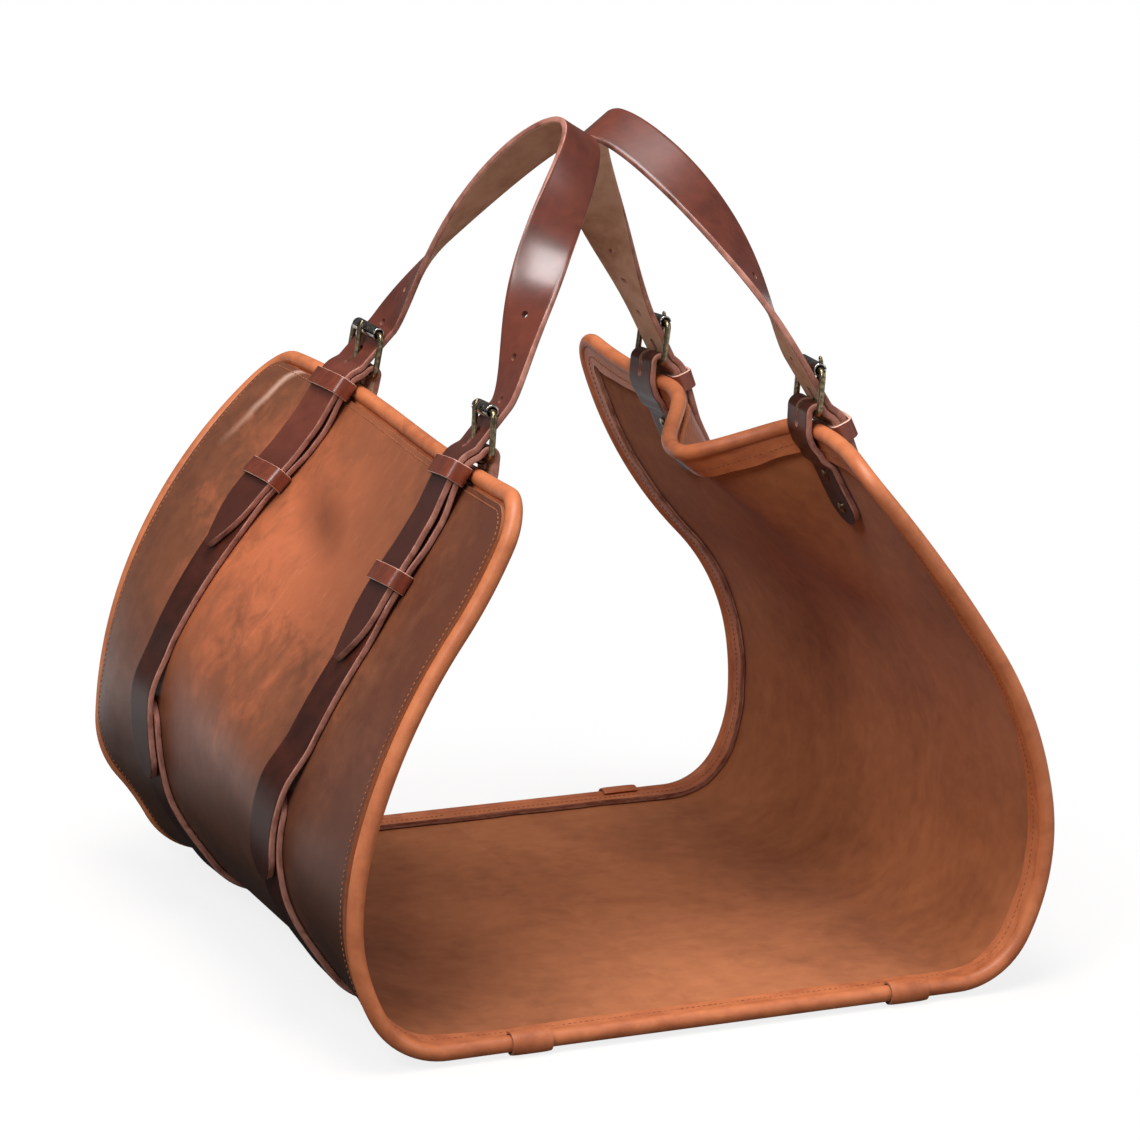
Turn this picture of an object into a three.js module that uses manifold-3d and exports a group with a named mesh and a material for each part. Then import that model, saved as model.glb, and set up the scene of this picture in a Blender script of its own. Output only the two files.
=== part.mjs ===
// Leather log carrier: one thick hide slung in two girth straps, edged with rope-cored piping,
// and carried by two long buckled straps that lean together over the opening.
// Millimetres, +Z up. X runs across the opening and Y from the front opening to the back one.
// The origin is on the ground under the middle of the carrier.
import * as THREE from "three";
import { mergeVertices } from "three/addons/utils/BufferGeometryUtils.js";
import Module from "manifold-3d";

const wasm = await Module();
wasm.setup();

// Gap left between pieces that touch, and the saw-cut gap where a piece is parted at a fold.
const seat = 0.3;
const foldGap = 0.3;

// The hide and its piping.
const hideThickness = 3.5;
const carrierDepth = 450;
const cornerRadius = 26;
const ropeRadius = 3.4;
const ropeSlack = 0.7;
const bindingThickness = 1.6;
const flangeWidth = 17;
const flangeSlack = 0.9;
const ropeRise = 2.5;
const pipeBore = ropeRadius + ropeSlack;
const pipeRadius = pipeBore + bindingThickness;
const hideEdge = pipeRadius + seat;

// The straps.
const strapWidth = 32;
const strapThickness = 4.2;
const strapSpacing = 234;
const halfStrap = strapWidth / 2;
const halfStock = strapThickness / 2;

// Keepers: leather loops that slide on each side strap and hold the handle's end down.
const keeperWidth = 12;
const keeperThickness = 2;
const keeperCorner = 2.4;
const keeperSlack = 0.8;
const upperKeeperDrop = 5;
const lowerKeeperDrop = 77.5;
const keeperRoomLength = 10;

// Where the side strap is riveted down, as drops below the piping along the panel.
const upperRivetDrop = 30;
const lowerRivetDrop = 54;
const rivetDrops = { upper: upperRivetDrop, lower: lowerRivetDrop };
const clampStartDrop = 15;
const clampFullDrop = 24;
const clampEndDrop = 59.5;
const clampMiddleDrop = (clampFullDrop + clampEndDrop) / 2;
const clampFreeDrop = lowerKeeperDrop - keeperRoomLength;
const innerLegDrop = 67;
const handleTipDrop = 135;
const tailRowDrop = 106;
const tipTaperLength = 38;
const tipBluntWidth = 4;
const tipLiftHeight = 1.5;

// Rivets.
const rivetShankRadius = 1.8;
const rivetHoleRadius = 2.2;
const rivetHeadRadius = 4.5;
const rivetBurrRadius = 3.8;
const rivetHeadHeight = 1.2;
const rivetSeat = 0.45;
const rivetDomeShare = 0.7;

// Roller buckles.
const wireRadius = 2.3;
const rollerRadius = 4.2;
const buckleLength = 27;
const buckleCorner = 4;
const buckleSideGap = 0.8;
const barRise = 13;
const strapLean = 8;
const prongRadius = 1.9;
const prongOverhangLength = 6;
const prongDipDepth = 1.4;
const prongSlotWidth = 4.8;
const prongSlotLength = 16;

// Handles.
const splitRise = 43;
const pivotClearance = 0.8;
const swingClearance = 2.5;
const apexHeight = 512;
const apexOffset = 14;
const apexLean = 27;
const apexReachLength = 42;
const apexDroopDepth = 3;
const leftLegReach = 24;
const rightLegReach = 42;
const leftApexSpread = 16;
const punchRadius = 2.4;
const punchSpacing = 28;
const punchCount = 2;

// Sleeves over the joins of the bottom piping, set back from where the bottom starts to bend up.
const sleeveLength = 25;
const sleeveThickness = 1.6;
const leftSleeveSetback = 51;
const rightSleeveSetback = 34.5;

// The lap that joins a side strap to its girth strap.
const lapStartHeight = 90;
const lapEndHeight = 142;

// Offsets from the middle of the hide, outwards.
const hideFace = hideThickness / 2;
const girthOffset = hideFace + seat + halfStock;
const pipeFace = pipeRadius - ropeRise;
const sideOffset = pipeFace + keeperThickness + 2 * keeperSlack + halfStock;
const innerOffset = girthOffset + seat;
const lapOffset = girthOffset + strapThickness + 2 * seat;
const handleOffset = sideOffset + strapThickness + seat;
const flangeTop = hideFace + flangeSlack + seat + 2 * bindingThickness;
const overPipe = ropeRise + pipeRadius + seat + halfStock;
const overFlange = flangeTop + seat + halfStock;
const bottomHeight = strapThickness + seat + hideFace;

// Both sides of the hide share the flat bottom and the lower corner, with the fold half way round it.
const flatHalf = 165;
const lowerCornerLength = 55;
const lowerCornerAngle = 62;
const foldAlong = flatHalf + lowerCornerLength / 2;
// From the corner to the top edge: each stretch's length as a share of the panel's run and its turn
// in degrees, on four lines: the front edge, the middles of the two straps and the back edge.
const panelRun = 320;
const sides = {
  left: {
    sign: -1,
    rippleShare: 0,
    sleeveSetback: leftSleeveSetback,
    legReach: leftLegReach,
    apexSpread: leftApexSpread,
    sectionShares: [
      [[0.1956, 30.8], [0.1588, 13.7], [0.3956, 19.2], [0.2612, -15.8]],
      [[0.2197, 20.2], [0.1534, 33.6], [0.2581, 9.7], [0.4025, -2.7]],
      [[0.3122, 25.7], [0.1725, 30.3], [0.3378, 16.6], [0.2722, -7.9]],
      [[0.1094, -11], [0.1406, 42], [0.3875, 24], [0.4813, 27]],
    ],
  },
  right: {
    sign: 1,
    rippleShare: 1,
    sleeveSetback: rightSleeveSetback,
    legReach: rightLegReach,
    apexSpread: 0,
    sectionShares: [
      [[0.1406, 19], [0.1375, 18], [0.3156, 24], [0.4625, 9]],
      [[0.1375, 18], [0.1437, 17], [0.3219, 30], [0.4406, -13]],
      [[0.1313, 21], [0.1375, 16], [0.3156, 32], [0.4313, -22]],
      [[0.1344, 25], [0.1406, 12], [0.2844, 35], [0.5125, -32]],
    ],
  },
};
const sectionPlaces = [-carrierDepth, -strapSpacing, strapSpacing, carrierDepth].map((y) => y / 2);
const stretchSteps = [2, 3, 4];
// The ripple is where one panel's top edge bellies inwards between its straps.
const rippleHeight = 60;
const rippleOffset = -38;
const rippleHalfWidth = 100;
const rippleDepth = 190;

const finishes = {
  hide: ["#8f5535", 0.62, 0],
  binding: ["#b87350", 0.55, 0],
  rope: ["#c8b48c", 0.9, 0],
  strap: ["#5f2f26", 0.42, 0],
  keeper: ["#7c4030", 0.45, 0],
  metal: ["#6b6353", 0.38, 0.9],
};

const group = new THREE.Group();

function addPiece(name, geometry, finish) {
  const [color, roughness, metalness] = finishes[finish];
  const material = new THREE.MeshStandardMaterial({ color, roughness, metalness });
  const mesh = new THREE.Mesh(geometry, material);
  mesh.name = name;
  group.add(mesh);
  return mesh;
}

// Notes on a piece the line that it turns about or slides along.
function setAxis(mesh, point, axis) {
  mesh.userData = { point: point.toArray(), axis: axis.clone().normalize().toArray() };
}

const radians = THREE.MathUtils.degToRad;
const lerp = THREE.MathUtils.lerp;
const smooth = (value, low, high) => THREE.MathUtils.smoothstep(value, low, high);

// How much each of the four sections counts at a depth, on the cubic that runs through them all.
function depthShares(y) {
  return sectionPlaces.map((own) => {
    const others = sectionPlaces.filter((place) => place !== own);
    return others.reduce((share, place) => (share * (y - place)) / (own - place), 1);
  });
}

// The side's stretches at one place across the depth: the shared corner, then the panel's own.
function stretchesAt(side, y) {
  const shares = depthShares(y);
  const mix = (k, item) =>
    side.sectionShares.reduce((sum, section, i) => sum + shares[i] * section[k][item], 0);
  const own = side.sectionShares[0].map((_, k) => [panelRun * mix(k, 0), mix(k, 1)]);
  return [[flatHalf, 0], [lowerCornerLength, lowerCornerAngle], ...own];
}

function panelLength(side, y) {
  return stretchesAt(side, y).reduce((sum, [length]) => sum + length, 0);
}

// Distance along the hide from the middle of the bottom to a share of one stretch.
function reach(side, stretch, share, y) {
  const list = stretchesAt(side, y);
  const before = list.slice(0, stretch).reduce((sum, [length]) => sum + length, 0);
  return before + list[stretch][0] * share;
}

// Walks the stretches as arcs: the profile's point and heading at a distance along the hide.
function profileAt(side, along, y) {
  let x = 0;
  let z = bottomHeight;
  let heading = 0;
  let left = along;
  const list = stretchesAt(side, y);
  list.forEach(([length, turn], k) => {
    const last = k === list.length - 1;
    const walked = Math.max(0, last ? left : Math.min(left, length));
    const bent = Math.min(walked, length);
    const angle = radians(turn) * (bent / length);
    const chord = angle === 0 ? bent : (bent * Math.sin(angle / 2)) / (angle / 2);
    x += chord * Math.cos(heading + angle / 2);
    z += chord * Math.sin(heading + angle / 2);
    heading += angle;
    x += (walked - bent) * Math.cos(heading);
    z += (walked - bent) * Math.sin(heading);
    left -= walked;
  });
  return { x, z, heading };
}

// The ripple's inward depth: full at the top edge, gone at its lower end and at the straps.
function rippleAt(side, along, y) {
  const reachY = y < rippleOffset ? rippleHalfWidth + rippleOffset : rippleHalfWidth - rippleOffset;
  const acrossShare = Math.min(1, Math.abs(y - rippleOffset) / reachY);
  const drop = panelLength(side, y) - along;
  const downShare = THREE.MathUtils.clamp(1 - drop / rippleDepth, 0, 1);
  const across = Math.cos((acrossShare * Math.PI) / 2) ** 2;
  return side.rippleShare * rippleHeight * across * downShare ** 2;
}

// A point on the middle of the hide.
function hidePoint(side, along, y) {
  const { x, z, heading } = profileAt(side, along, y);
  const push = rippleAt(side, along, y);
  const outX = Math.sin(heading);
  const outZ = -Math.cos(heading);
  return new THREE.Vector3(side.sign * (x - push * outX), y, z - push * outZ);
}

// The hide's point with its directions: up along the panel, across the depth, and outwards.
function hideFrame(side, along, y) {
  const probe = hideThickness / 10;
  const point = hidePoint(side, along, y);
  const difference = (a, b) => hidePoint(side, ...a).sub(hidePoint(side, ...b)).normalize();
  const up = difference([along + probe, y], [along - probe, y]);
  const across = difference([along, y + probe], [along, y - probe]);
  const out = across.clone().cross(up).multiplyScalar(side.sign).normalize();
  return { point, up, across, out };
}

// A frame at a drop below the top edge's piping; above the edge the panel's line runs on straight.
function edgeFrame(side, drop, y) {
  return hideFrame(side, panelLength(side, y) - drop, y);
}

// A square frame at the piping's middle, for what runs straight on above the hide.
function topFrame(side, middle) {
  const frame = edgeFrame(side, 0, middle);
  frame.across = frame.up.clone().cross(frame.out).multiplyScalar(side.sign).normalize();
  return frame;
}

// Skins a row of equal rings of points; open rows get a cap on each end, cut from the outline.
// The crossed side's quads are split along their other diagonal, so that two faces of a strap match.
function loft(rings, { closed = false, outline = null, crossed = -1 } = {}) {
  const count = rings[0].length;
  const corners = [];
  const spans = closed ? rings.length : rings.length - 1;
  for (let i = 0; i < spans; i++) {
    const a = i * count;
    const b = ((i + 1) % rings.length) * count;
    for (let j = 0; j < count; j++) {
      const k = (j + 1) % count;
      if (j === crossed) corners.push(a + j, b + j, a + k, b + j, b + k, a + k);
      else corners.push(a + j, b + j, b + k, a + j, b + k, a + k);
    }
  }
  if (!closed) {
    const fan = rings[0].slice(2).map((_, k) => [0, k + 1, k + 2]);
    const cap = outline ? THREE.ShapeUtils.triangulateShape(outline, []) : fan;
    if (outline && THREE.ShapeUtils.isClockWise(outline)) cap.forEach((triangle) => triangle.reverse());
    const end = (rings.length - 1) * count;
    for (const [p, q, r] of cap) corners.push(p, q, r, end + r, end + q, end + p);
  }
  return closedBody(rings.flat(), corners);
}

// Makes a geometry whose faces point out, whichever way its rings ran.
function closedBody(points, corners) {
  let volume = 0;
  const normal = new THREE.Vector3();
  for (let i = 0; i < corners.length; i += 3) {
    const [a, b, c] = [points[corners[i]], points[corners[i + 1]], points[corners[i + 2]]];
    volume += a.dot(normal.crossVectors(b, c));
  }
  if (volume < 0) corners.reverse();
  const geometry = new THREE.BufferGeometry().setFromPoints(points);
  geometry.setIndex(corners);
  return geometry;
}

// A sheet of leather: the grid of frames thickened both ways, with walls round its edge.
function thickSheet(grid, thickness) {
  const rows = grid.length;
  const columns = grid[0].length;
  const flat = grid.flat();
  const shift = (frame, by) => frame.point.clone().addScaledVector(frame.out, by);
  const points = [
    ...flat.map((frame) => shift(frame, thickness / 2)),
    ...flat.map((frame) => shift(frame, -thickness / 2)),
  ];
  const inner = flat.length;
  const corners = [];
  const quad = (a, b, c, d) => corners.push(a, b, c, a, c, d);
  for (let i = 0; i < rows - 1; i++) {
    for (let j = 0; j < columns - 1; j++) {
      const a = i * columns + j;
      quad(a, a + 1, a + columns + 1, a + columns);
      quad(inner + a, inner + a + columns, inner + a + columns + 1, inner + a + 1);
    }
  }
  const rim = [];
  for (let j = 0; j < columns - 1; j++) rim.push(j);
  for (let i = 0; i < rows - 1; i++) rim.push(i * columns + columns - 1);
  for (let j = columns - 1; j > 0; j--) rim.push((rows - 1) * columns + j);
  for (let i = rows - 1; i > 0; i--) rim.push(i * columns);
  rim.forEach((a, k) => {
    const b = rim[(k + 1) % rim.length];
    quad(a, inner + a, inner + b, b);
  });
  return closedBody(points, corners);
}

// A strap: a flat rectangle carried along stations that each hold a centre and a half-width vector.
// A station that also holds its way along the strap is cut square to it.
function ribbon(stations, thickness, closed = false) {
  const last = stations.length - 1;
  const rings = stations.map(({ centre, half, way }, i) => {
    const next = stations[closed ? (i + 1) % (last + 1) : Math.min(i + 1, last)].centre;
    const previous = stations[closed ? (i + last) % (last + 1) : Math.max(i - 1, 0)].centre;
    const run = way ?? next.clone().sub(previous);
    const lift = half.clone().cross(run).setLength(thickness / 2);
    return [
      centre.clone().sub(half).sub(lift),
      centre.clone().add(half).sub(lift),
      centre.clone().add(half).add(lift),
      centre.clone().sub(half).add(lift),
    ];
  });
  return loft(rings, { closed, crossed: 2 });
}

// A round rod along stations that each hold a centre and two unit directions across the rod.
function rod(stations, radius, sidesRound, closed = false) {
  const rings = stations.map(({ centre, first, second }) =>
    Array.from({ length: sidesRound }, (_, k) => {
      const angle = ((k + 0.5) * 2 * Math.PI) / sidesRound;
      return centre
        .clone()
        .addScaledVector(first, radius * Math.cos(angle))
        .addScaledVector(second, radius * Math.sin(angle));
    }),
  );
  return loft(rings, { closed });
}

// The outline of a strip of leather whose middle follows a bent line, with mitred bends.
function stripOutline(line, thickness) {
  const normals = line.map((point, i) => {
    const before = i > 0 ? point.clone().sub(line[i - 1]).normalize() : null;
    const after = i < line.length - 1 ? line[i + 1].clone().sub(point).normalize() : null;
    const one = before ?? after;
    const two = after ?? before;
    const across = new THREE.Vector2(-one.y - two.y, one.x + two.x).normalize();
    const cosine = across.dot(new THREE.Vector2(-one.y, one.x));
    return across.multiplyScalar(thickness / 2 / cosine);
  });
  const nearSide = line.map((point, i) => point.clone().add(normals[i]));
  const farSide = line.map((point, i) => point.clone().sub(normals[i]));
  return [...nearSide, ...farSide.reverse()];
}

// Points evenly round an arc, in degrees from the section's own first axis.
function arcPoints(radius, from, to, steps) {
  return Array.from({ length: steps + 1 }, (_, k) => {
    const angle = radians(lerp(from, to, k / steps));
    return new THREE.Vector2(radius * Math.cos(angle), radius * Math.sin(angle));
  });
}

function toManifold(geometry) {
  const bare = geometry.clone();
  bare.deleteAttribute("normal");
  bare.deleteAttribute("uv");
  const merged = mergeVertices(bare);
  return new wasm.Manifold(
    new wasm.Mesh({
      numProp: 3,
      vertProperties: merged.attributes.position.array,
      triVerts: new Uint32Array(merged.index.array),
    }),
  );
}

function cutFrom(geometry, cutters) {
  let solid = toManifold(geometry);
  for (const cutter of cutters) solid = solid.subtract(toManifold(cutter));
  const mesh = solid.getMesh();
  const cut = new THREE.BufferGeometry();
  cut.setAttribute("position", new THREE.BufferAttribute(mesh.vertProperties, mesh.numProp));
  cut.setIndex(new THREE.BufferAttribute(mesh.triVerts, 1));
  return cut;
}

// Turns and moves a geometry so that its own y runs along one direction and its x near another.
function place(geometry, origin, near, y) {
  const z = near.clone().cross(y).normalize();
  const x = y.clone().cross(z);
  return geometry.applyMatrix4(new THREE.Matrix4().makeBasis(x, y, z).setPosition(origin));
}

// A round punch that runs along a direction through a point.
function punch(point, direction, across, radius, length) {
  const tool = new THREE.CylinderGeometry(radius, radius, length, 8);
  return place(tool, point, across, direction.clone().normalize());
}

// The section of the piping: a strip folded round the rope, with both its edges laid together as
// a flange on the inside of the hide. Its first axis points into the panel, its second inwards.
const stripMiddle = pipeBore + bindingThickness / 2;
const flangeNear = hideFace + flangeSlack + bindingThickness / 2 - ropeRise;
const flangeFar = flangeNear + bindingThickness + seat;
const wrapFrom = THREE.MathUtils.radToDeg(Math.asin(flangeNear / stripMiddle));
const wrapTo = THREE.MathUtils.radToDeg(Math.asin(flangeFar / stripMiddle));
const wrapSteps = 7;
const bindingLine = [
  new THREE.Vector2(flangeWidth, flangeNear),
  ...arcPoints(stripMiddle, wrapFrom, wrapTo - 360, wrapSteps),
  new THREE.Vector2(flangeWidth, flangeFar),
];
const bindingOutline = stripOutline(bindingLine, bindingThickness);

// The section of a sleeve: the same round as the piping, open where the hide and flange enter it.
const sleeveMiddle = pipeRadius + 2 * seat + sleeveThickness / 2;
const sleeveOpenings = [-52, -318];
const sleeveSteps = 7;
const sleeveLine = arcPoints(sleeveMiddle, ...sleeveOpenings, sleeveSteps);
const sleeveOutline = stripOutline(sleeveLine, sleeveThickness);

// A place on the rope's middle with the section's two directions: into the panel and inwards. The
// flange lies on the hide, so its own frame is a flange's width into the panel.
function pipeStation(side, along, y, turn) {
  const { point, up, across, out } = hideFrame(side, along, y);
  const first = across.multiplyScalar(Math.cos(turn)).addScaledVector(up, -Math.sin(turn));
  const second = out.negate();
  const centre = point.addScaledVector(second, ropeRise);
  const edgeAlong = along - flangeWidth * Math.sin(turn);
  const flange = hideFrame(side, edgeAlong, y + flangeWidth * Math.cos(turn));
  flange.point.addScaledVector(flange.out, -ropeRise);
  return { centre, first, second, flange };
}

function sectionLoft(stations, outline) {
  const rings = stations.map(({ centre, first, second, flange }) =>
    outline.map(({ x, y }) => {
      if (x >= flangeWidth) return flange.point.clone().addScaledVector(flange.out, -y);
      return centre.clone().addScaledVector(first, x).addScaledVector(second, y);
    }),
  );
  return loft(rings, { outline });
}

const ropeSides = 6;

const lyingDrops = [lowerKeeperDrop + keeperRoomLength, clampFreeDrop, clampEndDrop, clampMiddleDrop];

// Rows up one side of the hide, from the fold to just under the piping of the top edge.
function panelRows(side) {
  const rows = [() => foldAlong + foldGap / 2];
  for (const share of [2 / 3, 5 / 6]) rows.push((y) => reach(side, 1, share, y));
  stretchSteps.forEach((steps, k) => {
    for (let i = 0; i < steps; i++) rows.push((y) => reach(side, k + 2, i / steps, y));
  });
  const drops = [tailRowDrop, ...lyingDrops];
  for (const drop of drops) rows.push((y) => panelLength(side, y) - drop);
  return rows;
}
const cornerInner = cornerRadius - hideEdge;
const cornerSteps = 4;
const cornerTurn = (k) => ((k / cornerSteps) * Math.PI) / 2;
const cornerDrops = Array.from(
  { length: cornerSteps + 1 },
  (_, k) => cornerRadius - cornerInner * Math.sin(cornerTurn(k)),
);
const straightHalf = carrierDepth / 2 - cornerRadius;
const strapMiddle = strapSpacing / 2;
const strapEdges = [strapMiddle - halfStrap, strapMiddle + halfStrap];
const innerColumns = [0, 0.25, 0.5, 0.75].map((share) => share * strapEdges[0]);
const outerColumn = (strapEdges[1] + straightHalf) / 2;
const flangeShare = 0.78;

// The hide's columns across the depth; those past the straps draw in where its corners are round.
function columnsTo(end) {
  const half = [...innerColumns, ...strapEdges, outerColumn, lerp(outerColumn, end, flangeShare), end];
  return [...half.slice(1).map((y) => -y).reverse(), ...half];
}

// Half the hide's depth at a drop below the top edge, where its corners are rounded.
function halfDepth(drop) {
  const rise = Math.max(0, cornerRadius - drop);
  return straightHalf + Math.sqrt(Math.max(0, cornerInner ** 2 - rise ** 2));
}

function makeHidePanel(side) {
  const lowerColumns = columnsTo(carrierDepth / 2 - hideEdge);
  const lower = panelRows(side).map((row) => lowerColumns.map((y) => hideFrame(side, row(y), y)));
  const upper = cornerDrops.map((drop) =>
    columnsTo(halfDepth(drop)).map((y) => edgeFrame(side, drop, y)),
  );
  return thickSheet([...lower, ...upper], hideThickness);
}

// Stations of the piping of one side: up the front edge, round the top, and down the back edge.
function pipeRoute(side) {
  const end = carrierDepth / 2;
  const rows = panelRows(side);
  const up = (y, turn) => rows.map((row) => pipeStation(side, row(y), y, turn));
  const bend = (sign) =>
    cornerDrops.map((_, k) => {
      const turn = cornerTurn(k);
      const y = sign * (straightHalf + cornerRadius * Math.cos(turn));
      const along = panelLength(side, y) - cornerRadius * (1 - Math.sin(turn));
      return pipeStation(side, along, y, sign < 0 ? turn : Math.PI - turn);
    });
  const topColumns = columnsTo(straightHalf).slice(1, -1);
  const top = topColumns.map((y) => pipeStation(side, panelLength(side, y), y, Math.PI / 2));
  return [...up(-end, 0), ...bend(-1), ...top, ...bend(1).reverse(), ...up(end, Math.PI).reverse()];
}

// A strap's station on the panel: the middle of its two edges, each set off from the hide.
function strapStation(side, middle, alongOf, offset, share = 1) {
  const [low, high] = [-1, 1].map((sign) => {
    const y = middle + sign * halfStrap;
    const frame = hideFrame(side, alongOf(y), y);
    return frame.point.addScaledVector(frame.out, offset);
  });
  const half = high.clone().sub(low).multiplyScalar(share / 2);
  return { centre: low.add(high).multiplyScalar(0.5), half };
}
// Below the piping a strap follows the hide; above it, it runs straight on in the buckle's own frame.
function atDrop(side, middle, drop, offset, share = 1) {
  if (drop > 0) {
    return strapStation(side, middle, (y) => panelLength(side, y) - drop, offset, share);
  }
  const { point, up, out, across } = topFrame(side, middle);
  const centre = point.addScaledVector(up, -drop).addScaledVector(out, offset);
  return { centre, half: across.multiplyScalar(share * halfStrap) };
}

// A strap's end is rounded: how much of its width is there at a distance from the very end.
const endBackShares = [0.03, 0.13, 0.34, 1];
function roundShare(distance) {
  const backShare = THREE.MathUtils.clamp(distance / halfStrap, endBackShares[0], 1);
  return Math.sqrt(1 - (1 - backShare) ** 2);
}

// Stations of a strap that lies on the hide, from a rounded or square end to another: the hide's
// own rows where it is full, closer ones where it is rounded, each at its own offset.
function lyingStations(side, middle, from, to, rounded, offsetAt, extras = []) {
  const alongs = panelRows(side).filter((row) => row(middle) > from - seat && row(middle) < to);
  const ends = [...extras];
  for (const share of endBackShares) {
    if (rounded.from) ends.push(from + share * halfStrap);
    if (rounded.to) ends.push(to - share * halfStrap);
  }
  const clear = (end) => alongs.every((row) => Math.abs(row(middle) - end) > 2 * halfStock);
  const all = [...alongs, ...ends.filter(clear).map((end) => () => end)];
  all.sort((a, b) => a(middle) - b(middle));
  return all.map((row) => {
    const along = row(middle);
    const low = rounded.from ? roundShare(along - from) : 1;
    const high = rounded.to ? roundShare(to - along) : 1;
    return strapStation(side, middle, row, offsetAt(along), Math.min(low, high));
  });
}

// The side strap stands off the hide by a keeper's thickness, except where it is riveted down and
// at its lower end, which lies over the end of the girth strap.
function sideStrapOffset(side, along, y) {
  const drop = panelLength(side, y) - along;
  const released = smooth(drop, clampEndDrop, clampFreeDrop);
  const clamped = smooth(drop, clampStartDrop, clampFullDrop) * (1 - released);
  const free = lerp(sideOffset, girthOffset, clamped);
  const lapTop = foldAlong + lapEndHeight;
  const pastLap = smooth(along, lapTop + seat, lapTop + strapWidth);
  return lerp(lapOffset, free, pastLap);
}

// The bar's place: half way between the strap's two legs, above the piping.
const barOffset = (sideOffset - overPipe) / 2;
const bar = new THREE.Vector2(barOffset, barRise);
const loopRadius = wireRadius + seat + halfStock;
const loopAngles = [strapLean, 157];
const loopSteps = 8;
const legBendLength = 5;
const outerSteps = 3;
const bendRise = keeperWidth / 2 - upperKeeperDrop + seat;

// A smooth bend between two points, each left or reached along its own direction.
function bend(from, fromWay, to, toWay) {
  const leave = fromWay.clone().multiplyScalar(legBendLength).add(from);
  const reachTo = toWay.clone().multiplyScalar(-legBendLength).add(to);
  return new THREE.CubicBezierCurve(from, leave, reachTo, to);
}

// The strap's line over the top edge: up outside, round the buckle's bar and down inside. Each
// point holds an offset from the hide and a rise above the piping's middle.
const ring = arcPoints(loopRadius, ...loopAngles, loopSteps).map((point) => point.add(bar));
const [ringWay, ringEndWay] = loopAngles.map((angle) => {
  return new THREE.Vector2(-Math.sin(radians(angle)), Math.cos(radians(angle)));
});
const upWay = new THREE.Vector2(0, 1);
const outerBend = bend(new THREE.Vector2(sideOffset, bendRise), upWay, ring[0], ringWay);
const innerEnd = new THREE.Vector2(-overPipe, 0);
const innerBend = bend(ring[loopSteps], ringEndWay, innerEnd, upWay.clone().negate());
const loopLine = [
  ...outerBend.getPoints(outerSteps).slice(0, -1),
  ...ring,
  ...innerBend.getPoints(outerSteps).slice(1),
];

// The handle's line lies on the strap's as far as the loop, then runs straight on behind the roller.
const lyingGap = strapThickness + seat;
const leanOut = new THREE.Vector2(ringWay.y, -ringWay.x);
const leanStart = leanOut.clone().multiplyScalar(lyingGap).add(ring[0]);
function leanPoint(distance) {
  return ringWay.clone().multiplyScalar(distance).add(leanStart);
}
const handleBend = Array.from({ length: outerSteps }, (_, k) => {
  const { x, y } = outerBend.getTangent(k / outerSteps);
  return new THREE.Vector2(y, -x).multiplyScalar(lyingGap).add(outerBend.getPoint(k / outerSteps));
});
const splitReach = (splitRise - leanStart.y) / ringWay.y;

// The roller lies on the handle's outer face, which sets how far the buckle's frame tilts outwards.
const rollerGap = loopRadius + lyingGap + halfStock + seat + rollerRadius;
const frameTilt = Math.asin(rollerGap / buckleLength) - radians(strapLean);
const flangeClimbShare = 1.8;
const innerLeg = [
  [pipeRadius, overPipe],
  [pipeRadius * flangeClimbShare, overFlange],
  [flangeWidth + seat, overFlange],
  [clampFullDrop, innerOffset],
  [clampMiddleDrop, innerOffset],
];
const nearTopDrops = [clampFullDrop, clampStartDrop, (clampStartDrop + pipeRadius) / 2];

function sideStrap(side, middle) {
  const total = panelLength(side, middle);
  const offsetAt = (along) => sideStrapOffset(side, along, middle);
  const low = foldAlong + lapStartHeight;
  const ends = { from: true, to: false };
  const lapTop = foldAlong + lapEndHeight;
  const step = [lapTop - halfStrap, lapTop + seat, lapTop + strapWidth];
  const stations = lyingStations(side, middle, low, total - clampFullDrop, ends, offsetAt, step);
  for (const drop of nearTopDrops) {
    stations.push(atDrop(side, middle, drop, offsetAt(total - drop)));
  }
  stations.push(atDrop(side, middle, 0, sideOffset));
  for (const { x, y } of loopLine) stations.push(atDrop(side, middle, -y, x));
  for (const [drop, offset] of innerLeg) stations.push(atDrop(side, middle, drop, -offset));
  const innerStations = endBackShares.map((share) => share * halfStrap).reverse();
  for (const back of innerStations) {
    stations.push(atDrop(side, middle, innerLegDrop - back, -innerOffset, roundShare(back)));
  }
  return ribbon(stations, strapThickness);
}

// The rigid frame of one strap's buckle, at the middle of the piping.
function buckleFrame(side, middle) {
  const { point, up, across, out } = topFrame(side, middle);
  const bar = point.clone().addScaledVector(up, barRise).addScaledVector(out, barOffset);
  const along = up
    .clone()
    .multiplyScalar(Math.cos(frameTilt))
    .addScaledVector(out, Math.sin(frameTilt))
    .normalize();
  const away = out
    .clone()
    .multiplyScalar(Math.cos(frameTilt))
    .addScaledVector(up, -Math.sin(frameTilt))
    .normalize();
  return { point, up, across, out, bar, along, away };
}

const buckleHalf = halfStrap + buckleSideGap + wireRadius;

function buckleRing(frame) {
  const { bar, across, along, away } = frame;
  const straight = buckleHalf - buckleCorner;
  const stations = [];
  const corners = [
    [straight, buckleCorner, -90],
    [straight, buckleLength - buckleCorner, 0],
    [-straight, buckleLength - buckleCorner, 90],
    [-straight, buckleCorner, 180],
  ];
  for (const [x, y, from] of corners) {
    for (const { x: dx, y: dy } of arcPoints(buckleCorner, from, from + 90, 3)) {
      const centre = bar.clone().addScaledVector(across, x + dx).addScaledVector(along, y + dy);
      const first = across.clone().multiplyScalar(dx).addScaledVector(along, dy).normalize();
      stations.push({ centre, first, second: away });
    }
  }
  return rod(stations, wireRadius, 8, true);
}

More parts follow.
